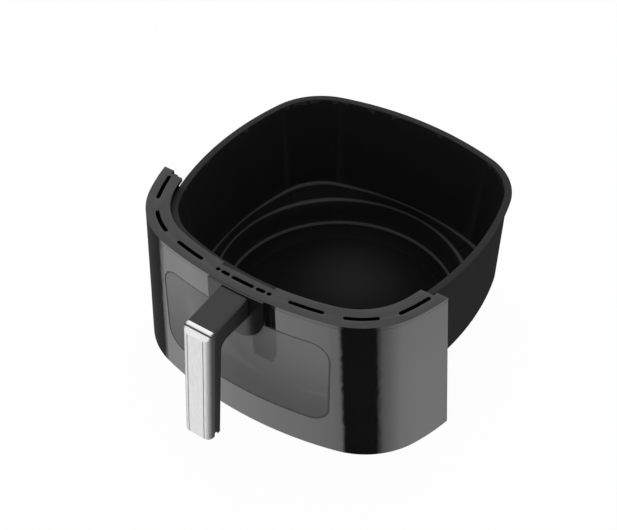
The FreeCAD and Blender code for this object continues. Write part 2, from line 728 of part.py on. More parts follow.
seal_far = seat + dim("pan_seal")
pane_near = seal_far + seat
pane_far = pane_near + dim("pan_pane")
lip_near = pane_far + seat
lip_far = lip_near + dim("pan_frame_lip")
opening_middle = (pan_window_low + pan_window_high) / 2
frame_rivets = []
frame_drills = []
for side, hand in ((-1, "left"), (1, "right")):
    for step, place in ((-1, "low"), (1, "high")):
        name = f"frame_rivet_{hand}_{place}"
        across = dim("pan_window_half") + dim("pan_frame_ear") - dim("frame_rivet_inset")
        level = opening_middle + dim("frame_rivet_spread") * step
        point, outwards = wall_point(side * across.value, level.value, (lip_far + seat).value)
        grip = lip_far + pan_wall + seat * 2
        frame_rivets.append(rivet(name, point, outwards, grip))
        frame_drills.append(drill(f"{name}_drill", point, FreeCAD.Rotation(UP, outwards), rivet_hole,
                                  grip * 2))

rim_plate = prism("rim_flat", rim_outline("rim_flat_edge", rim_height - dim("rim_plate"), nothing),
                  dim("rim_plate"))
pan_blank = cut("pan_blank", fuse("pan_full", pan_form("outside", pan_wall, pan_wall), rim_plate),
                pan_form("inside", nothing, nothing))


def pan_window(name, end_spread, edge_spread):
    """The outline of the pan's window, spread at its ends and at its long edges."""
    return prism(name, rounded_plate(
        f"{name}_edge", dim("pan_window_half") + end_spread, pan_window_low - edge_spread,
        pan_window_high + edge_spread, dim("pan_window_corner") + edge_spread), prism_reach)


finish("pan", cut("pan_drilled", cut("pan_open", pan_blank, pan_window("pan_opening", nothing, nothing)),
                  group("pan_drills", bracket_drills + frame_drills)))
finish("pan_bracket_rivets", group("bracket_rivet_set", bracket_rivets))
finish("pan_window_rivets", group("frame_rivet_set", frame_rivets))

# The jacket round the pan's walls

jacket_wall = dim("jacket_wall")
jacket_high = rim_height - dim("rim_plate") - seat
jacket_top = pan_wall + seat * 2 - dim("rim_flange")


def jacket_form(prefix, outwards, over):
    """Everything inside the jacket, moved out from its inner face and lifted off its lower edge."""
    return loft(f"{prefix}_form", [
        ledge_outline(prefix, pan_wall + dim("jacket_air") + outwards, -over),
        rim_outline(f"{prefix}_rim", jacket_high + over, jacket_top + outwards),
    ])


jacket_sheet = cut("jacket_sheet", jacket_form("jacket_outer", jacket_wall, nothing),
                   jacket_form("jacket_inner", nothing, jacket_wall))
jacket_front = box("jacket_front", (-prism_reach, front_side, nothing),
                   (prism_reach, -(dim("front_end") + dim("jacket_lead")), front_height))
finish("pan_jacket", cut("jacket_open", jacket_sheet,
                         fuse("jacket_cuts", pan_walls("jacket_room", seat), jacket_front)))

# The window in the pan

lap = dim("pan_pane_lap")
finish("pan_window_gasket", cut(
    "pan_seal_ring",
    common("pan_seal_sheet", pan_layer("pan_seal", seat, seal_far), pan_window("pan_seal_outer", lap, lap)),
    pan_window("pan_seal_inner", seat, seat)))
finish("pan_window_glass", common(
    "pan_pane_sheet", pan_layer("pan_pane", pane_near, pane_far), pan_window("pan_pane_outer", lap, lap)))
frame_block = common(
    "pan_frame_block", pan_layer("pan_frame", seat, lip_far),
    pan_window("pan_frame_outer", dim("pan_frame_ear"), dim("pan_frame_margin")))
frame_nest = common("pan_frame_nest", pan_walls("pan_frame_nest_wall", lip_near),
                    pan_window("pan_frame_nest_outer", lap + seat, lap + seat))
frame_sight = pan_window("pan_frame_sight", dim("pan_frame_lap"), dim("pan_frame_lap"))
finish("pan_window_frame", cut("pan_frame_drilled", frame_block,
                               fuse("pan_frame_cuts", frame_nest, frame_sight, *frame_drills)))

# The bracket between the pan and the front

bracket_zone = box("bracket_zone", (-dim("bracket_half"), front_side, bracket_low),
                   (dim("bracket_half"), nothing, bracket_high))
channel_half = dim("bracket_half") - dim("bracket_sheet")
channel_zone = box("channel_zone", (-channel_half, front_side, nothing),
                   (channel_half, nothing, front_height))
feet_zone = box("feet_zone", (-dim("bracket_foot"), front_side, bracket_low),
                (dim("bracket_foot"), nothing, bracket_high))
plate_far = dim("ring_pan_gap") - seat
bracket_channel = cut(
    "bracket_channel", common("bracket_hat", rim_prism("bracket_far", plate_far), bracket_zone),
    common("bracket_hollow", rim_prism("bracket_near", plate_far - dim("bracket_sheet")), channel_zone))
bracket_feet = cut("bracket_feet", common("bracket_strap", pan_layer("bracket_foot", seat, bracket_spread),
                                          feet_zone), channel_zone)
bracket_trimmed = cut("bracket_trimmed", fuse("bracket_sheet_metal", bracket_channel, bracket_feet),
                      pan_walls("bracket_seat", seat))

# Screws that hold the handle and the front to the bracket

plate_inside = dim("rim_half_y") + plate_far - dim("bracket_sheet") - seat
arm_root = front_reach + dim("base_proud") + seat * 2
handle_screws = []
handle_drills = []
carrier_screws = []
carrier_drills = []
carrier_bosses = []
wall_front = dim("rim_half_y") + dim("ring_pan_gap") + dim("carrier_wall")
for side, hand in ((-1, "left"), (1, "right")):
    across = side * dim("handle_screw_spread").value
    point = Vector(across, -plate_inside.value, (spigot_low + dim("handle_screw_lift")).value)
    length = arm_root + dim("handle_screw_bite") - plate_inside
    handle_screws.append(screw(f"handle_screw_{hand}", point, TO_FRONT, dim("handle_screw_radius"), length,
                               dim("handle_screw_head"), dim("handle_screw_rise")))
    handle_drills.append(drill(f"handle_drill_{hand}", point, TO_FRONT, handle_hole, length + 1))
    across = side * dim("carrier_screw_spread").value
    point = Vector(across, -plate_inside.value, (bracket_low + dim("carrier_screw_lift")).value)
    length = wall_front + dim("small_screw_bite") - plate_inside
    carrier_screws.append(screw(f"carrier_screw_{hand}", point, TO_FRONT, dim("small_screw_radius"), length,
                                dim("small_screw_head"), dim("small_screw_rise")))
    carrier_drills.append(drill(f"carrier_drill_{hand}", point, TO_FRONT, small_hole, length + 1))
    boss_foot = Vector(point.x, -(wall_front - dim("carrier_wall") / 2).value, point.z)
    carrier_bosses.append(cylinder(f"carrier_boss_{hand}", dim("boss_radius"),
                                   dim("small_screw_bite") + dim("carrier_wall"), boss_foot, TO_FRONT))
finish("handle_screws", group("handle_screw_set", handle_screws))
finish("carrier_screws", group("carrier_screw_set", carrier_screws))
finish("pan_bracket", cut("bracket_drilled", bracket_trimmed,
                          group("bracket_cuts", bracket_drills + handle_drills + carrier_drills)))

# The front: panel, window, ring and carrier


def front_solid(name, inset, low, high, back):
    """The filled front between two levels, moved in by an inset."""
    return loft(name, [front_outline(f"{name}_low", low, inset, back),
                       front_outline(f"{name}_high", high, inset, back)])


def front_layer(name, inner, outer, low, high, back):
    """A curved sheet between two insets, open at the back."""
    over = dim("ring_plate")
    return cut(name, front_solid(f"{name}_outer", outer, low, high, back),
               front_solid(f"{name}_inner", inner, low - over, high + over, nothing))


def sight_prism(name, spread):
    """The outline of the smoked pane, spread outwards."""
    return prism(name, rounded_plate(f"{name}_edge", dim("window_half") + spread, dim("window_low") - spread,
                                     window_high + spread, dim("window_corner") + spread), prism_reach)


skin_wall = dim("skin_wall")
skin_high = ring_low - seat
spigot_hole = box("spigot_hole", (-(dim("spigot_half") + seat), front_side, spigot_low - seat),
                  (dim("spigot_half") + seat, nothing, spigot_high + seat))
skin_screws = []
skin_drills = []
skin_sinks = []
skin_bosses = []
base_arcs = FrontArcs(dim("carrier_floor"))
boss_inset = (skin_wall + dim("boss_radius") * 0.8).value
boss_low = dim("carrier_floor") + seat
boss_points = [base_arcs.face_point(boss_inset, dim("skin_screw_angle").value),
               base_arcs.corner_point(boss_inset, dim("skin_corner_angle").value)]
for i, point in enumerate(boss_points + [mirrored(point) for point in boss_points]):
    head_seat = dim("small_screw_rise") + seat * 2
    foot = point + UP * head_seat.value
    length = boss_low + dim("small_screw_bite") - head_seat
    skin_screws.append(screw(f"skin_screw_{i}", foot, UPRIGHT, dim("small_screw_radius"), length,
                             dim("small_screw_head"), dim("small_screw_rise")))
    skin_drills.append(drill(f"skin_drill_{i}", foot, UPRIGHT, small_hole, length + 1))
    skin_sinks.append(cylinder(f"skin_sink_{i}", dim("small_screw_head") + seat, head_seat * 2,
                               point - UP * head_seat.value, UPRIGHT))
    skin_bosses.append(cylinder(f"skin_boss_{i}", dim("boss_radius"), dim("boss_rise"),
                                point + UP * boss_low.value, UPRIGHT))
finish("skin_screws", group("skin_screw_set", skin_screws))

skin_shell = front_layer("skin_shell", skin_wall, nothing, nothing, skin_high, front_back)
skin_opening = sight_prism("skin_opening", dim("gasket_line") + seat)
bosses_inside = common("skin_boss_set", group("skin_boss_posts", skin_bosses),
                       front_solid("skin_boss_zone", skin_wall / 2, nothing, skin_high, front_back))
finish("front_skin", cut("skin_drilled",
                         fuse("skin_with_bosses", cut("skin_open", skin_shell, fuse("skin_cuts", skin_opening,
                                                                                    spigot_hole)),
                              bosses_inside),
                         group("skin_drill_set", skin_drills)))

pane_low = dim("window_low") - dim("window_corner")
pane_high = ring_low
sink = dim("window_sink")
pane_layer = front_layer("window_layer", sink + dim("window_pane"), sink, pane_low, pane_high, front_back)
finish("window_glass", common("window_pane_sheet", pane_layer, sight_prism("window_edge", -seat)))
lap_near = sink + dim("window_pane") + seat
lap_far = lap_near + dim("gasket_back")
line_ring = cut("gasket_line_ring",
                common("gasket_line_sheet",
                       front_layer("gasket_line_layer", lap_near, sink, pane_low, pane_high, front_back),
                       sight_prism("gasket_line_outer", dim("gasket_line"))),
                sight_prism("gasket_line_inner", nothing))
lap_ring = cut("gasket_lap_ring",
               common("gasket_lap_sheet",
                      front_layer("gasket_lap_layer", lap_far, lap_near, pane_low, pane_high, front_back),
                      sight_prism("gasket_lap_outer", dim("gasket_line") + dim("gasket_back"))),
               sight_prism("gasket_lap_inner", -dim("gasket_lap")))
finish("window_gasket", fuse("gasket_sections", line_ring, lap_ring))


def arc_slot(sketch, centre, radius, first, last, width):
    """A slot with round ends along an arc, from a first to a last direction in degrees."""
    first, last = sorted((math.radians(first), math.radians(last)))
    half = width / 2
    add_arc(sketch, centre, radius + half, first, last)
    add_arc(sketch, centre, radius - half, first, last)
    for angle, turn in ((last, 0), (first, math.pi)):
        tip = centre + Vector(math.cos(angle), math.sin(angle), 0) * radius
        add_arc(sketch, tip, half, angle + turn, angle + turn + math.pi)


ring_arcs = FrontArcs(ring_low)
slot_sketch = flat_sketch("vent_slots", ring_low - dim("ring_plate"))
slot_inset = dim("slot_inset").value
slot_width = dim("slot_width").value
FRONT_HEADING = -90
face_line = ring_arcs.face_radius.value - slot_inset
arc_slot(slot_sketch, ring_arcs.face, face_line, FRONT_HEADING - dim("middle_slot_angle").value,
         FRONT_HEADING + dim("middle_slot_angle").value, slot_width)
for side in (-1, 1):
    for kind in ("short", "dot", "face"):
        arc_slot(slot_sketch, ring_arcs.face, face_line,
                 FRONT_HEADING + side * dim(f"{kind}_slot_start").value,
                 FRONT_HEADING + side * dim(f"{kind}_slot_finish").value, slot_width)
for kind, middle, radius in (("corner", ring_arcs.corner, ring_arcs.corner_radius),
                             ("side", ring_arcs.side, ring_arcs.side_radius)):
    line = radius.value - slot_inset
    first, last = -dim(f"{kind}_slot_start").value, -dim(f"{kind}_slot_finish").value
    arc_slot(slot_sketch, middle, line, first, last, slot_width)
    arc_slot(slot_sketch, mirrored(middle), line, -180 - last, -180 - first, slot_width)
slots = prism("slot_cuts", slot_sketch, dim("ring_plate") * 3)

ring_hole = prism("ring_hole", bowed_square(
    "ring_hole_edge", ring_low - dim("ring_plate"), dim("rim_half_x") - dim("ring_overlap"),
    dim("rim_half_y") + dim("ring_pan_gap"), dim("rim_side_radius") + dim("ring_pan_gap"),
    dim("rim_corner_radius") - dim("ring_pan_gap")), dim("ring_plate") * 3)
ring_edge = front_outline("ring_disc_edge", ring_low, nothing, front_back)
ring_disc = prism("ring_disc", ring_edge, dim("ring_plate"))
end_back = -(dim("front_end") + dim("ring_end_step"))
end_step = box("ring_end_zone", (-dim("ring_end_half"), end_back, nothing),
               (dim("ring_end_half"), nothing, front_height * 2))
notch_front = -(dim("rim_half_y") + dim("ring_pan_gap") + dim("ring_notch_depth"))
ring_notch = box("ring_notch", (-dim("ring_notch_half"), notch_front, ring_low - 1),
                 (dim("ring_notch_half"), nothing, front_height * 2))
rib_inset = skin_wall + seat
rib_slant = dim("end_slant") * (dim("ring_plate") + dim("ring_rib")) / front_height
rib_back = -(dim("front_end") + dim("carrier_end") + seat + rib_slant)
rib = front_layer("ring_rib_layer", rib_inset + dim("ring_rib_wall"), rib_inset, ring_low - dim("ring_rib"),
                  ring_low, rib_back)
ring_blank = cut("ring_blank", ring_disc, fuse("ring_cuts", ring_hole, end_step, ring_notch))
ring_full = fuse("ring_full", ring_blank, cut("ring_rib_gap", rib, spigot_hole))
finish("vent_ring", cut("ring_slotted", ring_full, slots))

carrier_high = ring_low - seat
carrier_inset = skin_wall + seat
carrier_body = front_solid("carrier_body", carrier_inset, nothing, carrier_high, front_back)
floor_sheet = common("carrier_floor_sheet", carrier_body,
                     box("carrier_floor_zone", (-prism_reach, front_side, nothing),
                         (prism_reach, prism_reach, dim("carrier_floor"))))
inner_wall = common("carrier_inner_wall", carrier_body,
                    rim_prism("carrier_wall_post", dim("ring_pan_gap") + dim("carrier_wall")))
end_walls = common("carrier_ends", carrier_body,
                   box("carrier_end_zone", (-prism_reach, -(dim("front_end") + dim("carrier_end")), nothing),
                       (prism_reach, nothing, front_height)))
carrier_full = cut("carrier_full", fuse("carrier_walls", floor_sheet, inner_wall, end_walls, *carrier_bosses),
                   rim_prism("carrier_room", dim("ring_pan_gap")))
carrier_sight = prism("carrier_sight", rounded_plate(
    "carrier_sight_edge", dim("window_half") - dim("sight_margin"), dim("window_low") + dim("sight_margin"),
    bracket_low - dim("boss_radius"), dim("window_corner") - dim("sight_margin")), prism_reach)
finish("inner_carrier", cut("carrier_drilled", carrier_full,
                            group("carrier_cuts", [carrier_sight] + handle_drills + carrier_drills
                                  + skin_drills + skin_sinks)))

# The handle

base_high = front_height - seat
base_edge = tongue_plate("base_edge", dim("base_half"), base_low, base_high)
base_sheet = common("base_sheet",
                    front_layer("base_layer", -seat, -dim("base_proud"), base_low - dim("base_proud"),
                                base_high, front_back),
                    prism("base_tongue", base_edge, prism_reach))
spigot = box("base_spigot",
             (-dim("spigot_half"), -(front_reach + dim("base_proud") / 2), spigot_low),
             (dim("spigot_half"), -(wall_front + seat), spigot_high))
finish("handle_base", cut("base_drilled", fuse("base_full", base_sheet, spigot),
                          group("base_drills", handle_drills)))


def side_prism(name, corners, width):
    """A straight body across the handle, from its outline seen from the right side."""
    sketch = doc.addObject("Sketcher::SketchObject", f"{name}_edge")
    sketch.Placement = FreeCAD.Placement(Vector(), FreeCAD.Rotation(Vector(1, 1, 1), 120))
    polygon(sketch, corners)
    solid = prism(name, sketch, width)
    solid.Symmetric = True
    return solid


def between(top, low, level):
    """Where the grip's sloping line stands at a level, from its values at the arm and at the lower end."""
    share = (level - grip_low) / (arm_under - grip_low)
    return low + (top - low) * share


def back_at(level):
    return between(grip_back_top, grip_back_low, level)


def front_at(level):
    return between(grip_front_top, grip_front_low, level)


def on_side_face(edge):
    bounds = edge.BoundBox
    return bounds.XLength < 0.01 and abs(abs(bounds.XMin) - dim("handle_width").value / 2) < 0.01


def low_edge(edge):
    return on_side_face(edge) and lies_at(edge, grip_low.value)


split_top = -grip_split_top
split_low = -grip_split_low
cover_high = arm_under - dim("cover_drop")
cover_depth = dim("cover_depth")
trim_inset = dim("trim_wall") + seat
arm_blank = side_prism("arm_blank", [
    (-arm_root, arm_top_root),
    (split_top, arm_top_end),
    (split_low, grip_low),
    (-(grip_back_low + cover_depth), grip_low),
    (-(back_at(cover_high) + cover_depth), cover_high),
    (-back_at(cover_high), cover_high),
    (-grip_back_top, arm_under),
    (-arm_root, arm_under),
], dim("handle_width"))


def bend_edge(edge):
    middle = edge.BoundBox.Center
    return (edge.BoundBox.YLength < 0.01 and abs(middle.y + grip_back_top.value) < 0.01
            and lies_at(edge, arm_under.value))


arm_bent = rounded("arm_bent", arm_blank, bend_edge, dim("arm_bend"))


def arm_long_edge(edge):
    bounds = edge.BoundBox
    behind_trim = bounds.YMin > -grip_split_top.value - 0.01
    above_cover = bounds.ZMin > cover_high.value - 0.01
    along = bounds.YLength > 1 or bounds.ZLength > 1
    at_root = bounds.YLength < 0.01 and bounds.YMax > -arm_root.value - 0.01
    level_step = lies_at(edge, cover_high.value)
    return on_side_face(edge) and behind_trim and above_cover and along and not at_root and not level_step


arm_soft = rounded("arm_soft", arm_bent, arm_long_edge, dim("grip_edge"))
bevel = dim("grip_bevel")
core_reach = dim("grip_edge")


def trim_outline(inset, behind):
    """The trim's outline seen from the side, moved in by an inset and run back behind its edge."""
    corner = inset * (math.sqrt(2) - 1)
    return [
        (split_top + behind, arm_top_end - inset),
        (-(grip_front_top - bevel - corner), arm_top_end - inset),
        (-(grip_front_top - inset), arm_top_end - bevel - corner),
        (-(grip_front_low - inset), grip_low + inset),
        (split_low + behind, grip_low + inset),
    ]


trim_room = dim("handle_width") - dim("trim_wall") * 2
core_tongue = side_prism("core_tongue", trim_outline(trim_inset, core_reach), trim_room - seat * 2)
trim_drills = []
trim_sockets = []
trim_posts = []
trim_screws = []
trim_sinks = []
trim_screw_low = grip_low + dim("trim_screw_rise")
trim_levels = {"low": trim_screw_low, "high": trim_screw_low + dim("trim_screw_pitch")}
for place, level in trim_levels.items():
    back = back_at(level) + dim("small_screw_rise") + seat
    point = Vector(0, -back.value, level.value)
    post_back = Vector(0, -(front_at(level) - dim("small_screw_bite")).value, level.value)
    length = front_at(level) - dim("trim_wall") * 2 - back
    trim_screws.append(screw(f"trim_screw_{place}", point, TO_FRONT, dim("small_screw_radius"), length,
                             dim("small_screw_head"), dim("small_screw_rise")))
    trim_drills.append(drill(f"trim_drill_{place}", point, TO_FRONT, small_hole, length + seat))
    sink_point = point + Vector(0, dim("small_screw_rise").value, 0)
    trim_sinks.append(drill(f"trim_sink_{place}", sink_point, TO_FRONT, dim("small_screw_head") + seat,
                            dim("small_screw_rise")))
    trim_posts.append(cylinder(f"trim_post_{place}", dim("boss_radius"),
                               dim("small_screw_bite") - dim("trim_wall") / 2, post_back, TO_FRONT))
    trim_sockets.append(cylinder(f"trim_socket_{place}", dim("boss_radius") + seat,
                                 dim("small_screw_bite") * 2, post_back + Vector(0, seat.value, 0), TO_FRONT))
finish("handle_core", cut("core_drilled", fuse("core_full", rounded("arm_end", arm_soft, low_edge,
                                                                    dim("grip_end_radius")), core_tongue),
                          group("core_drills", handle_drills + trim_drills + trim_sockets)))

trim_blank = side_prism("trim_blank", trim_outline(nothing, nothing), dim("handle_width"))


def trim_front_edge(edge):
    bounds = edge.BoundBox
    front_run = bounds.YMin < -grip_split_low.value and bounds.ZLength > bevel.value * 2
    return on_side_face(edge) and front_run


trim_soft = rounded("trim_soft", trim_blank, trim_front_edge, dim("trim_edge"))
trim_hollow = side_prism("trim_hollow", trim_outline(dim("trim_wall"), core_reach), trim_room)
finish("handle_trim", cut("trim_drilled",
                          fuse("trim_full", cut("trim_sheet", trim_soft, trim_hollow), *trim_posts),
                          group("trim_drill_set", trim_drills)))
finish("trim_screws", group("trim_screw_set", trim_screws))

cover_blank = side_prism("cover_blank", [
    (-grip_back_low, grip_low),
    (-(grip_back_low + cover_depth - seat), grip_low),
    (-(back_at(cover_high) + cover_depth - seat), cover_high - seat),
    (-back_at(cover_high), cover_high - seat),
], dim("handle_width"))


def cover_back_edge(edge):
    bounds = edge.BoundBox
    return on_side_face(edge) and bounds.ZLength > cover_depth.value * 2 and (
        bounds.YMax > -(back_at(cover_high) + seat).value)


cover_soft = rounded("cover_soft", cover_blank, cover_back_edge, dim("grip_edge"))
finish("grip_back_cover", cut("cover_drilled", cover_soft, group("cover_drills", trim_drills + trim_sinks)))

# Check every piece, then write it

doc.recompute()
for feature in doc.Objects:
    if "Invalid" in feature.State or "Error" in feature.State:
        raise RuntimeError(f"{feature.Name} failed: {feature.State}")
for label, solid in pieces.items():
    if solid.Shape.isNull() or not solid.Shape.isValid() or not solid.Shape.Solids:
        raise RuntimeError(f"{label} has no valid solid")
os.makedirs("parts", exist_ok=True)
for label, solid in pieces.items():
    solid.Shape.exportStep(f"parts/{label}.step")
    print(label, len(solid.Shape.Solids), "solids", round(solid.Shape.Volume), "mm3")
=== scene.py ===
"""Looks of a pull-out air fryer drawer, built around its packed CAD part."""

import math

import bmesh
import bpy
from bpy.props import FloatProperty, FloatVectorProperty, IntProperty, PointerProperty
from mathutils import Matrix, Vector


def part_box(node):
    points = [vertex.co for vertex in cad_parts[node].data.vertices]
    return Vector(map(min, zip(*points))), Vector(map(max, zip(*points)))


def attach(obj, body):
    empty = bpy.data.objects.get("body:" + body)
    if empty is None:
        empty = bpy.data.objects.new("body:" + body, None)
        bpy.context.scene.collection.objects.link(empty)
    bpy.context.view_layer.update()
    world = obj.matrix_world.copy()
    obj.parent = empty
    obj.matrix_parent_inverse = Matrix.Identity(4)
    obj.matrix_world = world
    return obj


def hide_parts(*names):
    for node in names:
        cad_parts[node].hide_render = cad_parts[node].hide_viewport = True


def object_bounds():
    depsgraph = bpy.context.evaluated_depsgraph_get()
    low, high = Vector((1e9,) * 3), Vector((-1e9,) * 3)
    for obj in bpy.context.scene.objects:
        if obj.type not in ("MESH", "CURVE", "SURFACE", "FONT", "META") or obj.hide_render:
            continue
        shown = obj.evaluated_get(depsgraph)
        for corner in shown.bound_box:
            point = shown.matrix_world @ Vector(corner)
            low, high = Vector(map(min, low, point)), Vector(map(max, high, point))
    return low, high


bl_info = {
    "name": "Air Fryer Drawer",
    "version": (1, 0, 0),
    "blender": (4, 5, 0),
    "location": "3D View > Sidebar > Drawer",
    "description": "Dresses the packed drawer in its finishes and sets up the studio",
    "category": "Object",
}

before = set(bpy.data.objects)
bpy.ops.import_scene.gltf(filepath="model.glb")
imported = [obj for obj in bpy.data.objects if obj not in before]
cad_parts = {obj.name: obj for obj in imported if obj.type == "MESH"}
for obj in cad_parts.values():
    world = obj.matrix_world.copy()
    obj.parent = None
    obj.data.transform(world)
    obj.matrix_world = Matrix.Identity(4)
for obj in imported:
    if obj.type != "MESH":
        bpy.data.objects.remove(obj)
CAD_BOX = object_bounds()

WHITE = (1.0, 1.0, 1.0, 1.0)
DARK_GREY = (0.02, 0.02, 0.02, 1.0)
MID_GREY = (0.5, 0.5, 0.5, 1.0)
LIGHT_GREY = (0.8, 0.8, 0.8, 1.0)
GLASS_IOR = 1.47
GLOSS_IOR = 1.6
SENSOR_WIDTH = 36.0

# Range of a noise that holds most of its values.
NOISE_MIDDLE = (0.3, 0.7)
# Distances from the middle of a painted line at which its colour has faded out and is full, in metres:
# painted highlights along the pan's creases, painted shade beside the trim's flat front and below its lip.
CREASE_HIGHLIGHT_LINE = (0.0016, 0.0006)
GROOVE_SHADE_LINE = (0.0005, 0.0001)
LIP_SHADE_LINE = (0.0008, 0.0002)
# Distances below the trim's lip between which the painted shade in its grooves fades in.
GROOVE_START = (0.003, 0.005)
# Reach of the bump made by a moulding's grain and by brushed lines.
GRAIN_REACH = 0.0002
LINE_REACH = 0.0001
# Scale of the coordinates that draws brushed lines out along the height.
LINE_STRETCH = (1.0, 1.0, 0.012)
# Scale of the faint film on a pane.
FILM_SCALE = 30.0
# How far the coating's roughness varies to either side.
ROUGHNESS_SPREAD = 0.03
# Roughness of the ring's polished sides.
SIDE_ROUGHNESS = 0.05

# Corners closer than this are one corner.
WELD = 1e-6
# Height difference up to which an edge counts as level.
LEVEL_SLACK = 0.0002
# Turns between two faces above which their edge is rounded, and above which it is shaded as sharp.
CORNER_TURN = math.radians(60)
SHARP_TURN = math.radians(30)
# Upward part of a normal below which its face counts as upright.
UPRIGHT = 0.3
# Forward part of a normal above which its face counts as a front face.
FORWARD = 0.9
# Degrees between the cuts along a rolled edge.
ROLL_STEP = 10
# Height of the pan's rim, and depth of the trim's lip below its top.
RIM_DEPTH = 0.0025
LIP_DEPTH = 0.0014
# How far the trim's inner faces and the core lie inside the trim's rolled edges.
TRIM_WALL = 0.0009
CORE_DEPTH = 0.0011
# Gap between the drawer and the floor.
FLOOR_GAP = 0.0002

# What glossy surfaces mirror below the horizon: heading in degrees from straight ahead, brightness.
STUDIO_BANDS = (
    (-180.0, 0.05),
    (-81.0, 0.05),
    (-74.0, 0.62),
    (-58.0, 0.9),
    (-10.0, 0.9),
    (7.5, 0.75),
    (12.0, 0.025),
    (53.5, 0.025),
    (62.0, 0.5),
    (85.0, 0.86),
    (105.0, 0.8),
    (125.0, 0.62),
    (140.0, 0.04),
    (180.0, 0.03),
)
# Upward parts of a direction between which the bands grow brighter, and their gains there.
BAND_SLOPES = (-0.78, -0.7)
BAND_GAINS = (0.94, 1.12)
# Upward parts of a direction between which the bands give way to the white of the studio.
HORIZON = (-0.2, 0.1)
# Place of the soft lamp, seen from above.
LAMP_PLACE = (-0.25, 0.3)


class DrawerStageSettings(bpy.types.PropertyGroup):
    """The camera, the floor and the light."""

    azimuth: FloatProperty(
        name="Azimuth", description="Camera's turn to the right of straight ahead",
        default=math.radians(34.808), subtype="ANGLE",
    )
    elevation: FloatProperty(
        name="Elevation", description="Camera's angle above the floor",
        default=math.radians(43.325), subtype="ANGLE",
    )
    distance: FloatProperty(
        name="Distance", description="Camera to the point it looks at",
        default=1.10349, min=0.1, unit="LENGTH",
    )
    target: FloatVectorProperty(
        name="Target", description="Point that the camera looks at",
        default=(-0.03243, 0.0, 0.03406), subtype="TRANSLATION", unit="LENGTH",
    )
    lens: FloatProperty(
        name="Lens", description="Focal length on a sensor 36 mm wide",
        default=76.714, min=10.0, unit="CAMERA",
    )
    floor_size: FloatProperty(
        name="Floor", description="Side of the square floor",
        default=6.0, min=1.0, unit="LENGTH",
    )
    floor_colour: FloatVectorProperty(
        name="Floor colour", description="Colour of the floor", size=3,
        default=(0.86, 0.86, 0.86), min=0.0, max=1.0, subtype="COLOR",
    )
    floor_lift: FloatProperty(
        name="Floor lift", description="How far the floor is lifted to the white of the background",
        default=0.97, min=0.0, max=1.0, subtype="FACTOR",
    )
    fill_light: FloatProperty(
        name="Fill light", description="Strength of the even light from all round",
        default=0.55, min=0.0, max=2.0,
    )
    top_light: FloatProperty(
        name="Top light", description="Power of the soft lamp above",
        default=9.0, min=0.0, unit="POWER",
    )
    top_light_size: FloatProperty(
        name="Top light size", description="Side of the soft lamp above",
        default=1.1, min=0.1, unit="LENGTH",
    )
    top_light_height: FloatProperty(
        name="Top light height", description="Height of the soft lamp above the floor",
        default=1.3, min=0.3, unit="LENGTH",
    )


class DrawerPanSettings(bpy.types.PropertyGroup):
    """The coated pan."""

    colour: FloatVectorProperty(
        name="Coating", description="Colour of the non-stick coating", size=3,
        default=(0.0135, 0.0135, 0.0137), min=0.0, max=1.0, subtype="COLOR",
    )
    # Painted shade: the shelves and the floor are coloured darker than the walls.
    level_shade_colour: FloatVectorProperty(
        name="Level faces", description="Painted shade of the coating on the shelves and the floor", size=3,
        default=(0.0066, 0.0066, 0.0067), min=0.0, max=1.0, subtype="COLOR",
    )
    # Painted highlight: a lighter line along each crease.
    crease_highlight_colour: FloatVectorProperty(
        name="Creases", description="Colour of the painted highlight along the creases", size=3,
        default=(0.07, 0.07, 0.071), min=0.0, max=1.0, subtype="COLOR",
    )
    # Painted sheen: the rim is coloured lighter than the rest of the coating.
    rim_colour: FloatVectorProperty(
        name="Rim", description="Colour of the rim, lightened as a painted sheen", size=3,
        default=(0.03, 0.03, 0.0305), min=0.0, max=1.0, subtype="COLOR",
    )
    # Painted sheen: a lighter patch on the pan's floor, with its place and reach below.
    sheen_patch_colour: FloatVectorProperty(
        name="Patch", description="Colour of the painted sheen patch on the floor", size=3,
        default=(0.02, 0.02, 0.0205), min=0.0, max=1.0, subtype="COLOR",
    )
    sheen_patch_place: FloatVectorProperty(
        name="Patch place", description="Middle of the painted sheen patch",
        default=(-0.012, 0.040, 0.0016), subtype="TRANSLATION", unit="LENGTH",
    )
    sheen_patch_reach: FloatProperty(
        name="Patch reach", description="Distance at which the painted sheen patch has faded out",
        default=0.065, min=0.0, unit="LENGTH",
    )
    roughness: FloatProperty(
        name="Roughness", description="Roughness of the coating",
        default=0.4, min=0.0, max=1.0, subtype="FACTOR",
    )
    shine: FloatProperty(
        name="Shine", description="How strongly the coating mirrors its surroundings",
        default=0.02, min=0.0, max=1.0, subtype="FACTOR",
    )
    jacket_colour: FloatVectorProperty(
        name="Jacket", description="Colour of the jacket round the pan", size=3,
        default=(0.024, 0.024, 0.0245), min=0.0, max=1.0, subtype="COLOR",
    )
    # The painted highlights are drawn along the creases at these heights.
    crease_heights: FloatVectorProperty(
        name="Crease heights", description="Heights of the three creases pressed into the pan",
        default=(0.041, 0.032, 0.011), subtype="XYZ", unit="LENGTH",
    )
    rim_edge: FloatProperty(
        name="Rim edge", description="Width of the rounding on the edges of the rim",
        default=0.0006, min=0.0, unit="LENGTH",
    )
    steps: IntProperty(
        name="Steps", description="Faces across each rounding", default=3, min=1, max=8,
    )


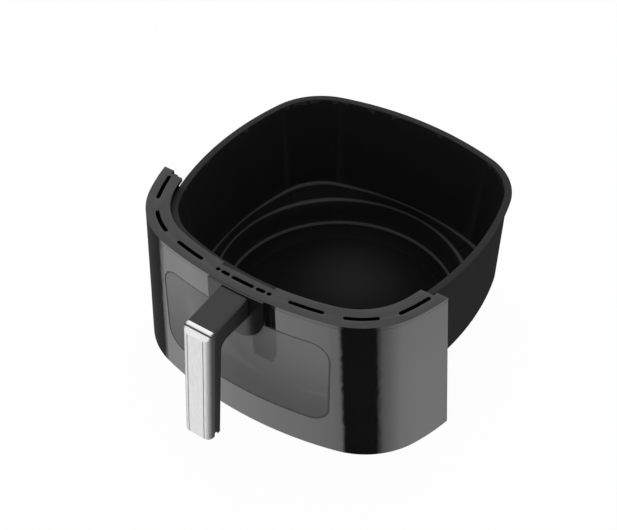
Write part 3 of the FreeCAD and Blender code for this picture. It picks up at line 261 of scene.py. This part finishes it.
class DrawerPlasticSettings(bpy.types.PropertyGroup):
    """The moulded pieces."""

    ring_colour: FloatVectorProperty(
        name="Ring", description="Colour of the vented ring", size=3,
        default=(0.022, 0.022, 0.0225), min=0.0, max=1.0, subtype="COLOR",
    )
    ring_edge: FloatProperty(
        name="Ring edge", description="Width of the rounding on the ring's edges",
        default=0.0004, min=0.0, unit="LENGTH",
    )
    panel_colour: FloatVectorProperty(
        name="Panel", description="Colour of the glossy panel", size=3,
        default=(0.0045, 0.0045, 0.0047), min=0.0, max=1.0, subtype="COLOR",
    )
    handle_colour: FloatVectorProperty(
        name="Handle", description="Colour of the arm and the grip", size=3,
        default=(0.009, 0.009, 0.0092), min=0.0, max=1.0, subtype="COLOR",
    )
    base_colour: FloatVectorProperty(
        name="Handle base", description="Colour of the handle's base on the panel", size=3,
        default=(0.008, 0.008, 0.0082), min=0.0, max=1.0, subtype="COLOR",
    )
    carrier_colour: FloatVectorProperty(
        name="Carrier", description="Colour of the moulding behind the panel", size=3,
        default=(0.004, 0.004, 0.004), min=0.0, max=1.0, subtype="COLOR",
    )
    seal_colour: FloatVectorProperty(
        name="Seals", description="Colour of the rubber seals", size=3,
        default=(0.03, 0.03, 0.03), min=0.0, max=1.0, subtype="COLOR",
    )


class DrawerGlassSettings(bpy.types.PropertyGroup):
    """The two panes."""

    smoked_top: FloatVectorProperty(
        name="Smoked pane, top", description="Tint of the outer pane at its upper edge", size=3,
        default=(0.27, 0.27, 0.275), min=0.0, max=1.0, subtype="COLOR",
    )
    smoked_low: FloatVectorProperty(
        name="Smoked pane, low", description="Tint of the outer pane at its lower edge", size=3,
        default=(0.14, 0.14, 0.143), min=0.0, max=1.0, subtype="COLOR",
    )
    smoked_clear: FloatProperty(
        name="Smoked pane, clear", description="Share of the light that the outer pane lets through",
        default=0.3, min=0.0, max=1.0, subtype="FACTOR",
    )
    clear_colour: FloatVectorProperty(
        name="Clear pane", description="Tint of the pane on the pan", size=3,
        default=(0.90, 0.93, 0.92), min=0.0, max=1.0, subtype="COLOR",
    )


class DrawerSteelSettings(bpy.types.PropertyGroup):
    """The bare metal pieces."""

    trim_colour: FloatVectorProperty(
        name="Trim", description="Colour of the bright cover on the grip", size=3,
        default=(0.93, 0.93, 0.93), min=0.0, max=1.0, subtype="COLOR",
    )
    # Painted shade: dark lines beside the cover's flat front and below its lip.
    trim_groove_shade: FloatVectorProperty(
        name="Trim grooves", description="Painted shade in the fine grooves of the cover", size=3,
        default=(0.04, 0.04, 0.04), min=0.0, max=1.0, subtype="COLOR",
    )
    # Painted reflection: the cover's rolled sides are coloured darker.
    trim_side: FloatVectorProperty(
        name="Trim sides", description="Painted reflection: darker colour of the cover's rolled sides", size=3,
        default=(0.08, 0.08, 0.08), min=0.0, max=1.0, subtype="COLOR",
    )
    trim_round: FloatProperty(
        name="Trim rounding", description="Radius of the cover's rolled long edges",
        default=0.0053, min=0.0, unit="LENGTH",
    )
    trim_metal: FloatProperty(
        name="Trim metal", description="How far the cover mirrors as bare metal",
        default=0.6, min=0.0, max=1.0, subtype="FACTOR",
    )
    sheet_colour: FloatVectorProperty(
        name="Sheet", description="Colour of the bracket and the pane's frame", size=3,
        default=(0.55, 0.55, 0.56), min=0.0, max=1.0, subtype="COLOR",
    )
    fastener_colour: FloatVectorProperty(
        name="Fasteners", description="Colour of the screws and rivets", size=3,
        default=(0.60, 0.60, 0.61), min=0.0, max=1.0, subtype="COLOR",
    )


# Nodes


def feed(tree, value, socket):
    """Gives a socket its value, or links it where the value is another socket."""
    if isinstance(value, bpy.types.NodeSocket):
        tree.links.new(value, socket)
    else:
        socket.default_value = value


def maths(tree, operation, first, second=0.0):
    """One sum; each side is a number or a socket."""
    node = tree.nodes.new("ShaderNodeMath")
    node.operation = operation
    feed(tree, first, node.inputs[0])
    feed(tree, second, node.inputs[1])
    return node.outputs["Value"]


def ranged(tree, value, source, result=(0.0, 1.0), kind="LINEAR"):
    """Maps a value from one range to another; each end is a number or a socket."""
    node = tree.nodes.new("ShaderNodeMapRange")
    node.interpolation_type = kind
    feed(tree, value, node.inputs["Value"])
    for label, end in zip(("From Min", "From Max", "To Min", "To Max"), (*source, *result)):
        feed(tree, end, node.inputs[label])
    return node.outputs["Result"]


def spread(tree, value, low, high):
    """Maps the middle of a noise to the range from low to high."""
    return ranged(tree, value, NOISE_MIDDLE, (low, high))


def fade(tree, value, start, end):
    """A mask that goes smoothly from none at the start to full at the end."""
    return ranged(tree, value, (start, end), kind="SMOOTHSTEP")


def mixed(tree, factor, first, second, kind="RGBA"):
    """A colour or number between two others."""
    node = tree.nodes.new("ShaderNodeMix")
    node.data_type = kind
    for label, value in (("Factor", factor), ("A", first), ("B", second)):
        feed(tree, value, node.inputs[label])
    return node.outputs["Result"]


def scaled(tree, colour, factor):
    """A colour made brighter or darker."""
    node = tree.nodes.new("ShaderNodeVectorMath")
    node.operation = "SCALE"
    feed(tree, colour, node.inputs["Vector"])
    feed(tree, factor, node.inputs["Scale"])
    return node.outputs["Vector"]


def noise(tree, vector, scale, detail):
    """A noise texture on the given coordinates."""
    node = tree.nodes.new("ShaderNodeTexNoise")
    node.inputs["Detail"].default_value = detail
    feed(tree, vector, node.inputs["Vector"])
    feed(tree, scale, node.inputs["Scale"])
    return node.outputs["Fac"]


def object_place(tree):
    """Coordinates on the piece itself."""
    return tree.nodes.new("ShaderNodeTexCoord").outputs["Object"]


def split(tree, vector):
    """The X, Y and Z of a vector."""
    node = tree.nodes.new("ShaderNodeSeparateXYZ")
    feed(tree, vector, node.inputs["Vector"])
    return node.outputs


def attribute_mask(tree, name):
    """A mask that is stored on the mesh."""
    node = tree.nodes.new("ShaderNodeAttribute")
    node.attribute_name = name
    return node.outputs["Fac"]


# Node groups


def new_group(name, inputs, outputs):
    """An empty shader group with its sockets: inputs are (name, type, default), outputs (name, type)."""
    group = bpy.data.node_groups.new(name, "ShaderNodeTree")
    for label, kind, default in inputs:
        socket = group.interface.new_socket(label, in_out="INPUT", socket_type=kind)
        socket.default_value = default
    for label, kind in outputs:
        group.interface.new_socket(label, in_out="OUTPUT", socket_type=kind)
    given = group.nodes.new("NodeGroupInput").outputs
    result = group.nodes.new("NodeGroupOutput").inputs
    return group, given, result


FINISH_OUTPUTS = [
    ("Colour", "NodeSocketColor"),
    ("Roughness", "NodeSocketFloat"),
    ("Height", "NodeSocketFloat"),
]


def grain_group():
    """Fine grain of a moulding or a coating, with broad patches that are a little smoother."""
    group, given, result = new_group(
        "moulded_grain",
        [
            ("Colour", "NodeSocketColor", DARK_GREY),
            ("Grain Scale", "NodeSocketFloat", 2200.0),
            ("Patch Scale", "NodeSocketFloat", 22.0),
            ("Roughness Low", "NodeSocketFloat", 0.4),
            ("Roughness High", "NodeSocketFloat", 0.5),
            ("Colour Low", "NodeSocketFloat", 0.85),
            ("Colour High", "NodeSocketFloat", 1.15),
        ],
        FINISH_OUTPUTS,
    )
    place = object_place(group)
    fine = noise(group, place, given["Grain Scale"], detail=2.0)
    patch = noise(group, place, given["Patch Scale"], detail=4.0)
    shade = spread(group, fine, given["Colour Low"], given["Colour High"])
    rough = spread(group, patch, given["Roughness Low"], given["Roughness High"])
    group.links.new(scaled(group, given["Colour"], shade), result["Colour"])
    group.links.new(rough, result["Roughness"])
    group.links.new(fine, result["Height"])
    return group


def brushed_group():
    """Fine lines left by a brush, drawn out along the piece's height."""
    group, given, result = new_group(
        "brushed_lines",
        [
            ("Colour", "NodeSocketColor", LIGHT_GREY),
            ("Line Scale", "NodeSocketFloat", 1600.0),
            ("Patch Scale", "NodeSocketFloat", 45.0),
            ("Roughness Low", "NodeSocketFloat", 0.2),
            ("Roughness High", "NodeSocketFloat", 0.3),
            ("Colour Low", "NodeSocketFloat", 0.94),
            ("Colour High", "NodeSocketFloat", 1.06),
        ],
        FINISH_OUTPUTS,
    )
    place = object_place(group)
    stretch = group.nodes.new("ShaderNodeMapping")
    stretch.inputs["Scale"].default_value = LINE_STRETCH
    group.links.new(place, stretch.inputs["Vector"])
    lines = noise(group, stretch.outputs["Vector"], given["Line Scale"], detail=3.0)
    patch = noise(group, place, given["Patch Scale"], detail=3.0)
    shade = spread(group, lines, given["Colour Low"], given["Colour High"])
    rough = spread(group, patch, given["Roughness Low"], given["Roughness High"])
    group.links.new(scaled(group, given["Colour"], shade), result["Colour"])
    group.links.new(rough, result["Roughness"])
    group.links.new(lines, result["Height"])
    return group


def painted_light_group():
    """Colours of the pan's coating with painted light: painted shade on level faces, a painted sheen patch
    on the floor, painted highlights along the creases and a painted sheen on the rim.
    """
    group, given, result = new_group(
        "pan_painted_light",
        [
            ("Colour", "NodeSocketColor", DARK_GREY),
            ("Level Colour", "NodeSocketColor", DARK_GREY),
            ("Crease Colour", "NodeSocketColor", DARK_GREY),
            ("Rim Colour", "NodeSocketColor", DARK_GREY),
            ("Patch Colour", "NodeSocketColor", DARK_GREY),
            ("Crease Heights", "NodeSocketVector", (0.0, 0.0, 0.0)),
            ("Patch Place", "NodeSocketVector", (0.0, 0.0, 0.0)),
            ("Patch Reach", "NodeSocketFloat", 0.06),
        ],
        [("Colour", "NodeSocketColor")],
    )
    place = object_place(group)
    away = group.nodes.new("ShaderNodeVectorMath")
    away.operation = "DISTANCE"
    group.links.new(place, away.inputs[0])
    group.links.new(given["Patch Place"], away.inputs[1])
    height = split(group, place)["Z"]
    crease = 0.0
    for line in split(group, given["Crease Heights"]):
        beside = maths(group, "ABSOLUTE", maths(group, "SUBTRACT", height, line))
        crease = maths(group, "MAXIMUM", crease, fade(group, beside, *CREASE_HIGHLIGHT_LINE))
    # Painted light: shade on level faces, a sheen patch on the floor, highlights along the creases and a
    # sheen on the rim.
    masks = {
        "Level": attribute_mask(group, "level"),
        "Patch": fade(group, away.outputs["Value"], given["Patch Reach"], 0.0),
        "Crease": crease,
        "Rim": attribute_mask(group, "rim"),
    }
    colour = given["Colour"]
    for label, mask in masks.items():
        colour = mixed(group, mask, colour, given[f"{label} Colour"])
    group.links.new(colour, result["Colour"])
    return group


def rolled_shade_group():
    """Colours of the grip's cover with painted light: lines of painted shade beside its flat front and below
    its lip, and a painted reflection that darkens its sides.
    """
    group, given, result = new_group(
        "rolled_cover_painted_shade",
        [
            ("Colour", "NodeSocketColor", MID_GREY),
            ("Groove Colour", "NodeSocketColor", MID_GREY),
            ("Side Colour", "NodeSocketColor", MID_GREY),
            ("Groove Place", "NodeSocketFloat", 0.007),
            ("Lip Height", "NodeSocketFloat", 0.128),
            ("Half Width", "NodeSocketFloat", 0.0123),
        ],
        [("Colour", "NodeSocketColor")],
    )
    place = split(group, object_place(group))
    across = maths(group, "ABSOLUTE", place["X"])
    middle = maths(group, "MULTIPLY", maths(group, "ADD", given["Groove Place"], given["Half Width"]), 0.5)
    # Painted reflection: darker towards the sides.
    side = fade(group, across, middle, given["Half Width"])
    colour = mixed(group, side, given["Colour"], given["Side Colour"])
    # Painted shade: dark lines beside the flat front and below the lip.
    beside = maths(group, "ABSOLUTE", maths(group, "SUBTRACT", across, given["Groove Place"]))
    below = maths(group, "SUBTRACT", given["Lip Height"], place["Z"])
    groove = maths(group, "MULTIPLY", fade(group, beside, *GROOVE_SHADE_LINE), fade(group, below, *GROOVE_START))
    lip = fade(group, maths(group, "ABSOLUTE", below), *LIP_SHADE_LINE)
    lines = maths(group, "MAXIMUM", groove, lip)
    group.links.new(mixed(group, lines, colour, given["Groove Colour"]), result["Colour"])
    return group


def shared_group(name, make):
    """The named group, made on its first use."""
    return bpy.data.node_groups.get(name) or make()


# Materials


def principled(material):
    """A material's Principled shader."""
    return material.node_tree.nodes["Principled BSDF"]


def new_material(name, **values):
    """A material with its node tree and its Principled shader; values are the shader's sockets."""
    material = bpy.data.materials.new(name)
    material.use_nodes = True
    shader = principled(material)
    for label, value in values.items():
        shader.inputs[label.replace("_", " ")].default_value = value
    return material, material.node_tree, shader


def add_group(tree, shader, group, values, depth, reach):
    """Places a group in a material with its own values, and a bump made from its height."""
    node = tree.nodes.new("ShaderNodeGroup")
    node.name = "finish"
    node.node_tree = group
    for label, value in values.items():
        node.inputs[label].default_value = value
    bump = tree.nodes.new("ShaderNodeBump")
    bump.inputs["Strength"].default_value = depth
    bump.inputs["Distance"].default_value = reach
    tree.links.new(node.outputs["Colour"], shader.inputs["Base Color"])
    tree.links.new(node.outputs["Roughness"], shader.inputs["Roughness"])
    tree.links.new(node.outputs["Height"], bump.inputs["Height"])
    tree.links.new(bump.outputs["Normal"], shader.inputs["Normal"])


def finish_values(colour, roughness):
    """Values that both finishes take; roughness is (lowest, highest)."""
    return {"Colour": (*colour, 1.0), "Roughness Low": roughness[0], "Roughness High": roughness[1]}


def grained(name, colour, roughness, grain, depth, ior=1.5):
    """A moulded or coated finish; roughness is (lowest, highest), grain a scale, depth a bump's strength."""
    material, tree, shader = new_material(name, IOR=ior)
    values = {**finish_values(colour, roughness), "Grain Scale": grain}
    add_group(tree, shader, shared_group("moulded_grain", grain_group), values, depth, GRAIN_REACH)
    return material


def brushed(name, colour, roughness, depth, metal=1.0):
    """A bare metal finish with brushed lines."""
    material, tree, shader = new_material(name, Metallic=metal)
    values = finish_values(colour, roughness)
    add_group(tree, shader, shared_group("brushed_lines", brushed_group), values, depth, LINE_REACH)
    return material


def polished(name, colour, roughness):
    """A glossy finish under a clear coat, with the slight waves of a moulding."""
    material = grained(name, colour, roughness, grain=60.0, depth=0.004, ior=GLOSS_IOR)
    shader = principled(material)
    shader.inputs["Coat Weight"].default_value = 1.0
    shader.inputs["Coat Roughness"].default_value = 0.02
    shader.inputs["Coat IOR"].default_value = GLOSS_IOR
    return material


def coloured(material, group, colours, values):
    """Puts a group of colours in front of a material's finish."""
    tree = material.node_tree
    node = tree.nodes.new("ShaderNodeGroup")
    node.node_tree = group
    for label, colour in colours.items():
        node.inputs[label].default_value = (*colour, 1.0)
    for label, value in values.items():
        node.inputs[label].default_value = value
    tree.links.new(node.outputs["Colour"], tree.nodes["finish"].inputs["Colour"])
    return material


def dull(material, shine):
    """Lowers how strongly a material mirrors its surroundings."""
    principled(material).inputs["Specular IOR Level"].default_value = shine
    return material


def filmed(tree, shader, place, roughness):
    """A faint film on a pane; roughness is (lowest, highest)."""
    film = noise(tree, place, FILM_SCALE, detail=4.0)
    tree.links.new(spread(tree, film, *roughness), shader.inputs["Roughness"])


def smoked(name, panes, low, high):
    """A grey pane that lets little light through, darker towards its lower edge."""
    material, tree, shader = new_material(name, Transmission_Weight=panes.smoked_clear, IOR=GLASS_IOR)
    dull(material, shine=0.14)
    place = object_place(tree)
    lift = fade(tree, split(tree, place)["Z"], low, high)
    tint = mixed(tree, lift, (*panes.smoked_low, 1.0), (*panes.smoked_top, 1.0))
    tree.links.new(tint, shader.inputs["Base Color"])
    filmed(tree, shader, place, (0.06, 0.1))
    return material


def glass(name, colour):
    """A clear pane."""
    material, tree, shader = new_material(
        name, Base_Color=(*colour, 1.0), Transmission_Weight=1.0, IOR=GLASS_IOR
    )
    filmed(tree, shader, object_place(tree), (0.015, 0.05))
    return material


def dress(material, *names):
    """Gives CAD nodes their finish."""
    for name in names:
        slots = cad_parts[name].data.materials
        slots.clear()
        slots.append(material)


# Meshes


def merged_copy(name):
    """A bmesh of a CAD node with its corners joined and its flat triangles paired."""
    bm = bmesh.new()
    bm.from_mesh(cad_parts[name].data)
    bmesh.ops.remove_doubles(bm, verts=bm.verts, dist=WELD)
    bmesh.ops.join_triangles(
        bm, faces=bm.faces, angle_face_threshold=math.radians(4), angle_shape_threshold=math.radians(60)
    )
    return bm


def top_corners(bm, low):
    """The level edges above a height at which two faces meet at a corner."""
    edges = []
    for edge in bm.edges:
        first, last = (corner.co.z for corner in edge.verts)
        level = first > low and abs(first - last) < LEVEL_SLACK
        if level and len(edge.link_faces) == 2 and edge.calc_face_angle() > CORNER_TURN:
            edges.append(edge)
    if not edges:
        raise RuntimeError("there are no edges to round")
    return edges


def round_edges(bm, edges, width, steps):
    """Rounds edges with a bevel."""
    bmesh.ops.bevel(
        bm, geom=edges, offset=width, offset_type="OFFSET", affect="EDGES", segments=steps, profile=0.5,
        material=-1, clamp_overlap=True, loop_slide=True,
    )
    bm.normal_update()


def piece_from(bm, name, node, material):
    """Makes the object of a piece that stands for a CAD node."""
    mesh = bpy.data.meshes.new(name)
    bm.to_mesh(mesh)
    bm.free()
    mesh.shade_smooth()
    mesh.set_sharp_from_angle(angle=SHARP_TURN)
    mesh.materials.append(material)
    piece = bpy.data.objects.new(name, mesh)
    bpy.context.scene.collection.objects.link(piece)
    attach(piece, "root")
    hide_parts(node)


# Operators


class DRAWER_OT_pan(bpy.types.Operator):
    """Coated pan with painted highlights along its creases, painted shade on its level faces, a painted
    sheen patch on its floor, a softened rim with a painted sheen, and the jacket round it
    """

    bl_idname = "drawer.pan"
    bl_label = "Pan"

    def execute(self, context):
        pan = context.scene.drawer_pan
        bm = merged_copy("pan")
        # The rim mask carries a painted sheen.
        satin = bm.faces.layers.float.new("rim")
        level = bm.faces.layers.float.new("level")
        rim_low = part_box("pan")[1].z - RIM_DEPTH
        round_edges(bm, top_corners(bm, rim_low), pan.rim_edge, pan.steps)
        for face in bm.faces:
            face[satin] = float(face.calc_center_median().z > rim_low)
            # Painted shade on the level faces: none where the normal's upward part is 0.25, full where it is
            # 0.75.
            face[level] = min(1.0, max(0.0, face.normal.z * 2.0 - 0.5))
        piece_from(bm, "pan_pressing", "pan", self.coating(pan))
        jacket = grained("jacket_coating", pan.jacket_colour, (0.5, 0.56), grain=1800.0, depth=0.05)
        dress(dull(jacket, shine=0.06), "pan_jacket")
        return {"FINISHED"}

    def coating(self, pan):
        """Dark non-stick coating with painted highlights, painted sheen and painted shade."""
        roughness = (pan.roughness - ROUGHNESS_SPREAD, pan.roughness + ROUGHNESS_SPREAD)
        material = dull(grained("pan_coating", pan.colour, roughness, grain=1800.0, depth=0.05), pan.shine)
        colours = {
            "Colour": pan.colour,
            "Level Colour": pan.level_shade_colour,
            "Crease Colour": pan.crease_highlight_colour,
            "Rim Colour": pan.rim_colour,
            "Patch Colour": pan.sheen_patch_colour,
        }
        places = {
            "Crease Heights": pan.crease_heights,
            "Patch Place": pan.sheen_patch_place,
            "Patch Reach": pan.sheen_patch_reach,
        }
        return coloured(material, shared_group("pan_painted_light", painted_light_group), colours, places)


class DRAWER_OT_panel(bpy.types.Operator):
    """Glossy front panel, the moulding behind it and the vented ring on top"""

    bl_idname = "drawer.panel"
    bl_label = "Front panel"

    def execute(self, context):
        plastic = context.scene.drawer_plastic
        dress(polished("skin_gloss", plastic.panel_colour, (0.03, 0.05)), "front_skin")
        carrier = grained("carrier_plastic", plastic.carrier_colour, (0.6, 0.7), grain=1500.0, depth=0.12)
        dress(dull(carrier, shine=0.1), "inner_carrier")
        bm = merged_copy("vent_ring")
        bmesh.ops.dissolve_limit(bm, angle_limit=math.radians(1), verts=bm.verts, edges=bm.edges)
        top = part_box("vent_ring")[1].z
        round_edges(bm, top_corners(bm, top - LEVEL_SLACK), plastic.ring_edge, steps=2)
        polish = bm.faces.layers.float.new("polish")
        for face in bm.faces:
            face[polish] = float(abs(face.normal.z) < UPRIGHT)
        ring = grained("ring_plastic", plastic.ring_colour, (0.46, 0.54), grain=1900.0, depth=0.16)
        self.polish_sides(ring, plastic)
        piece_from(bm, "ring_moulding", "vent_ring", ring)
        return {"FINISHED"}

    def polish_sides(self, ring, plastic):
        """Gives the ring's upright faces the gloss of the panel below them."""
        tree = ring.node_tree
        shader = principled(ring)
        finish = tree.nodes["finish"].outputs
        mask = attribute_mask(tree, "polish")
        shader.inputs["Coat IOR"].default_value = GLOSS_IOR
        shader.inputs["Coat Roughness"].default_value = 0.04
        colour = mixed(tree, mask, finish["Colour"], (*plastic.panel_colour, 1.0))
        smooth = mixed(tree, mask, finish["Roughness"], SIDE_ROUGHNESS, kind="FLOAT")
        tree.links.new(mask, shader.inputs["Coat Weight"])
        tree.links.new(colour, shader.inputs["Base Color"])
        tree.links.new(smooth, shader.inputs["Roughness"])


class DRAWER_OT_window(bpy.types.Operator):
    """Smoked pane in the panel, clear pane on the pan, and their seals"""

    bl_idname = "drawer.window"
    bl_label = "Window"

    def execute(self, context):
        panes = context.scene.drawer_glass
        plastic = context.scene.drawer_plastic
        seal = grained("seal_rubber", plastic.seal_colour, (0.2, 0.3), grain=900.0, depth=0.05)
        low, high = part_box("window_glass")
        dress(smoked("smoked_glass", panes, low.z, high.z), "window_glass")
        dress(glass("clear_glass", panes.clear_colour), "pan_window_glass")
        dress(seal, "window_gasket", "pan_window_gasket")
        return {"FINISHED"}


class DRAWER_OT_handle(bpy.types.Operator):
    """Satin arm and grip, the glossier base, and the bright brushed cover on the grip"""

    bl_idname = "drawer.handle"
    bl_label = "Handle"

    def execute(self, context):
        plastic = context.scene.drawer_plastic
        steel = context.scene.drawer_steel
        satin = grained("handle_plastic", plastic.handle_colour, (0.34, 0.42), grain=1700.0, depth=0.1)
        dress(satin, "grip_back_cover")
        base = grained("base_plastic", plastic.base_colour, (0.16, 0.22), grain=1700.0, depth=0.04)
        dress(base, "handle_base")
        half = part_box("handle_trim")[1].x
        radius = steel.trim_round
        flat = half - radius
        trim = merged_copy("handle_trim")
        front = max(trim.faces, key=lambda face: face.calc_area() if face.normal.y < -FORWARD else 0.0)
        ahead = front.normal.copy()
        axis = front.calc_center_median() - ahead * radius
        self.roll_edges(trim, flat, axis, ahead, radius, radius - TRIM_WALL)
        core = merged_copy("handle_core")
        self.roll_edges(core, flat, axis, ahead, radius - CORE_DEPTH, radius - CORE_DEPTH)
        piece_from(core, "handle_moulding", "handle_core", satin)
        piece_from(trim, "trim_cover", "handle_trim", self.cover(steel, flat, half))
        return {"FINISHED"}

    def cover(self, steel, flat, half):
        """Bright brushed metal with lines of painted shade in its grooves and a painted reflection that
        darkens its sides.
        """
        material = brushed("trim_steel", steel.trim_colour, (0.5, 0.58), depth=0.08, metal=steel.trim_metal)
        colours = {
            "Colour": steel.trim_colour,
            "Groove Colour": steel.trim_groove_shade,
            "Side Colour": steel.trim_side,
        }
        places = {
            "Groove Place": flat,
            "Lip Height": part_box("handle_trim")[1].z - LIP_DEPTH,
            "Half Width": half,
        }
        return coloured(material, shared_group("rolled_cover_painted_shade", rolled_shade_group), colours, places)

    def roll_edges(self, bm, flat, axis, ahead, outer, inner):
        """Draws the long front edges in to a wider arc: outward faces to one radius, inward to another."""
        for side in (-1.0, 1.0):
            for turn in range(0, 90, ROLL_STEP):
                across = flat + outer * math.sin(math.radians(turn))
                bmesh.ops.bisect_plane(
                    bm, geom=[*bm.verts, *bm.edges, *bm.faces],
                    plane_co=(side * across, 0, 0), plane_no=(side, 0, 0),
                )
        bm.normal_update()
        for corner in bm.verts:
            aside = abs(corner.co.x) - flat
            forward = (corner.co - axis).dot(ahead)
            if aside <= 0.0 or forward <= 0.0:
                continue
            outwards = Vector((math.copysign(aside, corner.co.x), 0.0, 0.0)) + ahead * forward
            limit = outer if corner.normal.dot(outwards) > 0.0 else inner
            if outwards.length > limit:
                corner.co -= outwards * (1.0 - limit / outwards.length)


class DRAWER_OT_hardware(bpy.types.Operator):
    """Steel bracket, the frame of the clear pane, and all screws and rivets"""

    bl_idname = "drawer.hardware"
    bl_label = "Brackets and fasteners"

    def execute(self, context):
        steel = context.scene.drawer_steel
        sheet = brushed("sheet_steel", steel.sheet_colour, (0.3, 0.42), depth=0.12)
        dress(sheet, "pan_bracket", "pan_window_frame")
        dress(
            brushed("fastener_steel", steel.fastener_colour, (0.28, 0.4), depth=0.05),
            "pan_bracket_rivets", "pan_window_rivets", "handle_screws", "carrier_screws", "skin_screws",
            "trim_screws",
        )
        return {"FINISHED"}


class DRAWER_OT_stage(bpy.types.Operator):
    """Camera, pale floor, soft lamp and the even light of the studio"""

    bl_idname = "drawer.stage"
    bl_label = "Stage"

    def execute(self, context):
        stage = context.scene.drawer_stage
        self.add_camera(context, stage)
        self.add_floor(context, stage)
        self.add_lamp(context, stage)
        self.set_world(context, stage)
        context.scene.view_settings.view_transform = "Standard"
        return {"FINISHED"}

    def add_camera(self, context, stage):
        """Looks at the target from its azimuth, elevation and distance."""
        back = Vector((
            math.sin(stage.azimuth) * math.cos(stage.elevation),
            -math.cos(stage.azimuth) * math.cos(stage.elevation),
            math.sin(stage.elevation),
        ))
        data = bpy.data.cameras.new("photo_camera")
        data.sensor_fit = "HORIZONTAL"
        data.sensor_width = SENSOR_WIDTH
        data.lens = stage.lens
        camera = bpy.data.objects.new("photo_camera", data)
        camera.location = Vector(stage.target) + back * stage.distance
        camera.rotation_euler = (-back).to_track_quat("-Z", "Y").to_euler()
        context.scene.collection.objects.link(camera)
        context.scene.camera = camera

    def add_floor(self, context, stage):
        """Pale floor, lifted to the white of the background and left out of reflections."""
        bm = bmesh.new()
        bmesh.ops.create_grid(bm, x_segments=1, y_segments=1, size=stage.floor_size / 2)
        bmesh.ops.translate(bm, verts=bm.verts, vec=(0.0, 0.0, CAD_BOX[0].z - FLOOR_GAP))
        mesh = bpy.data.meshes.new("studio_floor")
        bm.to_mesh(mesh)
        bm.free()
        material, tree, shader = new_material(
            "studio_floor", Base_Color=(*stage.floor_colour, 1.0), Roughness=0.9
        )
        dull(material, shine=0.0)
        white = tree.nodes.new("ShaderNodeEmission")
        mix = tree.nodes.new("ShaderNodeMixShader")
        lift = maths(tree, "MULTIPLY", self.seen_plainly(tree), stage.floor_lift)
        tree.links.new(lift, mix.inputs["Fac"])
        tree.links.new(shader.outputs["BSDF"], mix.inputs[1])
        tree.links.new(white.outputs["Emission"], mix.inputs[2])
        tree.links.new(mix.outputs["Shader"], tree.nodes["Material Output"].inputs["Surface"])
        mesh.materials.append(material)
        floor = bpy.data.objects.new("studio_floor", mesh)
        floor.visible_glossy = False
        context.scene.collection.objects.link(floor)

    def seen_plainly(self, tree):
        """A mask of what the camera sees, straight or through a pane."""
        rays = tree.nodes.new("ShaderNodeLightPath").outputs
        return maths(tree, "MAXIMUM", rays["Is Camera Ray"], rays["Is Transmission Ray"])

    def add_lamp(self, context, stage):
        """Large soft lamp above, a little to the back left."""
        data = bpy.data.lights.new("top_lamp", "AREA")
        data.shape = "SQUARE"
        data.size = stage.top_light_size
        data.energy = stage.top_light
        lamp = bpy.data.objects.new("top_lamp", data)
        lamp.location = (*LAMP_PLACE, stage.top_light_height)
        lamp.rotation_euler = (Vector(stage.target) - lamp.location).to_track_quat("-Z", "Y").to_euler()
        lamp.visible_camera = False
        lamp.visible_glossy = False
        context.scene.collection.objects.link(lamp)

    def set_world(self, context, stage):
        """White for the camera, even light for matte surfaces, and the studio's bands for glossy ones."""
        world = bpy.data.worlds.new("studio")
        world.use_nodes = True
        tree = world.node_tree
        way = split(tree, tree.nodes.new("ShaderNodeTexCoord").outputs["Generated"])
        bands = self.add_bands(tree, way)
        above = ranged(tree, way["Z"], HORIZON)
        mirrored = mixed(tree, above, bands, WHITE)
        glossy = tree.nodes.new("ShaderNodeLightPath").outputs["Is Glossy Ray"]
        even = (stage.fill_light, stage.fill_light, stage.fill_light, 1.0)
        fill = mixed(tree, glossy, even, mirrored)
        shown = mixed(tree, self.seen_plainly(tree), fill, WHITE)
        tree.links.new(shown, tree.nodes["Background"].inputs["Color"])
        context.scene.world = world

    def add_bands(self, tree, way):
        """Brightness of the studio below the horizon, by heading and slope."""
        heading = maths(tree, "ARCTAN2", way["X"], maths(tree, "MULTIPLY", way["Y"], -1.0))
        ramp = tree.nodes.new("ShaderNodeValToRGB")
        stops = ramp.color_ramp.elements
        stops.remove(stops[1])
        for place, (angle, level) in enumerate(STUDIO_BANDS):
            where = (angle + 180.0) / 360.0
            stop = stops.new(where) if place else stops[0]
            stop.position = where
            stop.color = (level, level, level, 1.0)
        tree.links.new(ranged(tree, heading, (-math.pi, math.pi)), ramp.inputs["Fac"])
        return scaled(tree, ramp.outputs["Color"], ranged(tree, way["Z"], BAND_SLOPES, BAND_GAINS))


class DRAWER_PT_sidebar(bpy.types.Panel):
    """Lists the drawer's pieces and their settings"""

    bl_label = "Drawer"
    bl_idname = "DRAWER_PT_sidebar"
    bl_space_type = "VIEW_3D"
    bl_region_type = "UI"
    bl_category = "Drawer"

    def draw(self, context):
        for operator in OPERATORS:
            self.layout.operator(operator.bl_idname)
        for name, settings in SETTINGS.items():
            box = self.layout.box()
            box.label(text=settings.__doc__)
            for label in settings.__annotations__:
                box.prop(getattr(context.scene, name), label)


SETTINGS = {
    "drawer_stage": DrawerStageSettings,
    "drawer_pan": DrawerPanSettings,
    "drawer_plastic": DrawerPlasticSettings,
    "drawer_glass": DrawerGlassSettings,
    "drawer_steel": DrawerSteelSettings,
}
OPERATORS = (
    DRAWER_OT_pan,
    DRAWER_OT_panel,
    DRAWER_OT_window,
    DRAWER_OT_handle,
    DRAWER_OT_hardware,
    DRAWER_OT_stage,
)
CLASSES = (*SETTINGS.values(), *OPERATORS, DRAWER_PT_sidebar)


def register():
    for cls in CLASSES:
        bpy.utils.register_class(cls)
    for name, settings in SETTINGS.items():
        setattr(bpy.types.Scene, name, PointerProperty(type=settings))


def unregister():
    for name in SETTINGS:
        delattr(bpy.types.Scene, name)
    for cls in reversed(CLASSES):
        bpy.utils.unregister_class(cls)


def main():
    register()
    bpy.ops.drawer.pan()
    bpy.ops.drawer.panel()
    bpy.ops.drawer.window()
    bpy.ops.drawer.handle()
    bpy.ops.drawer.hardware()
    bpy.ops.drawer.stage()


if __name__ == "__main__":
    main()
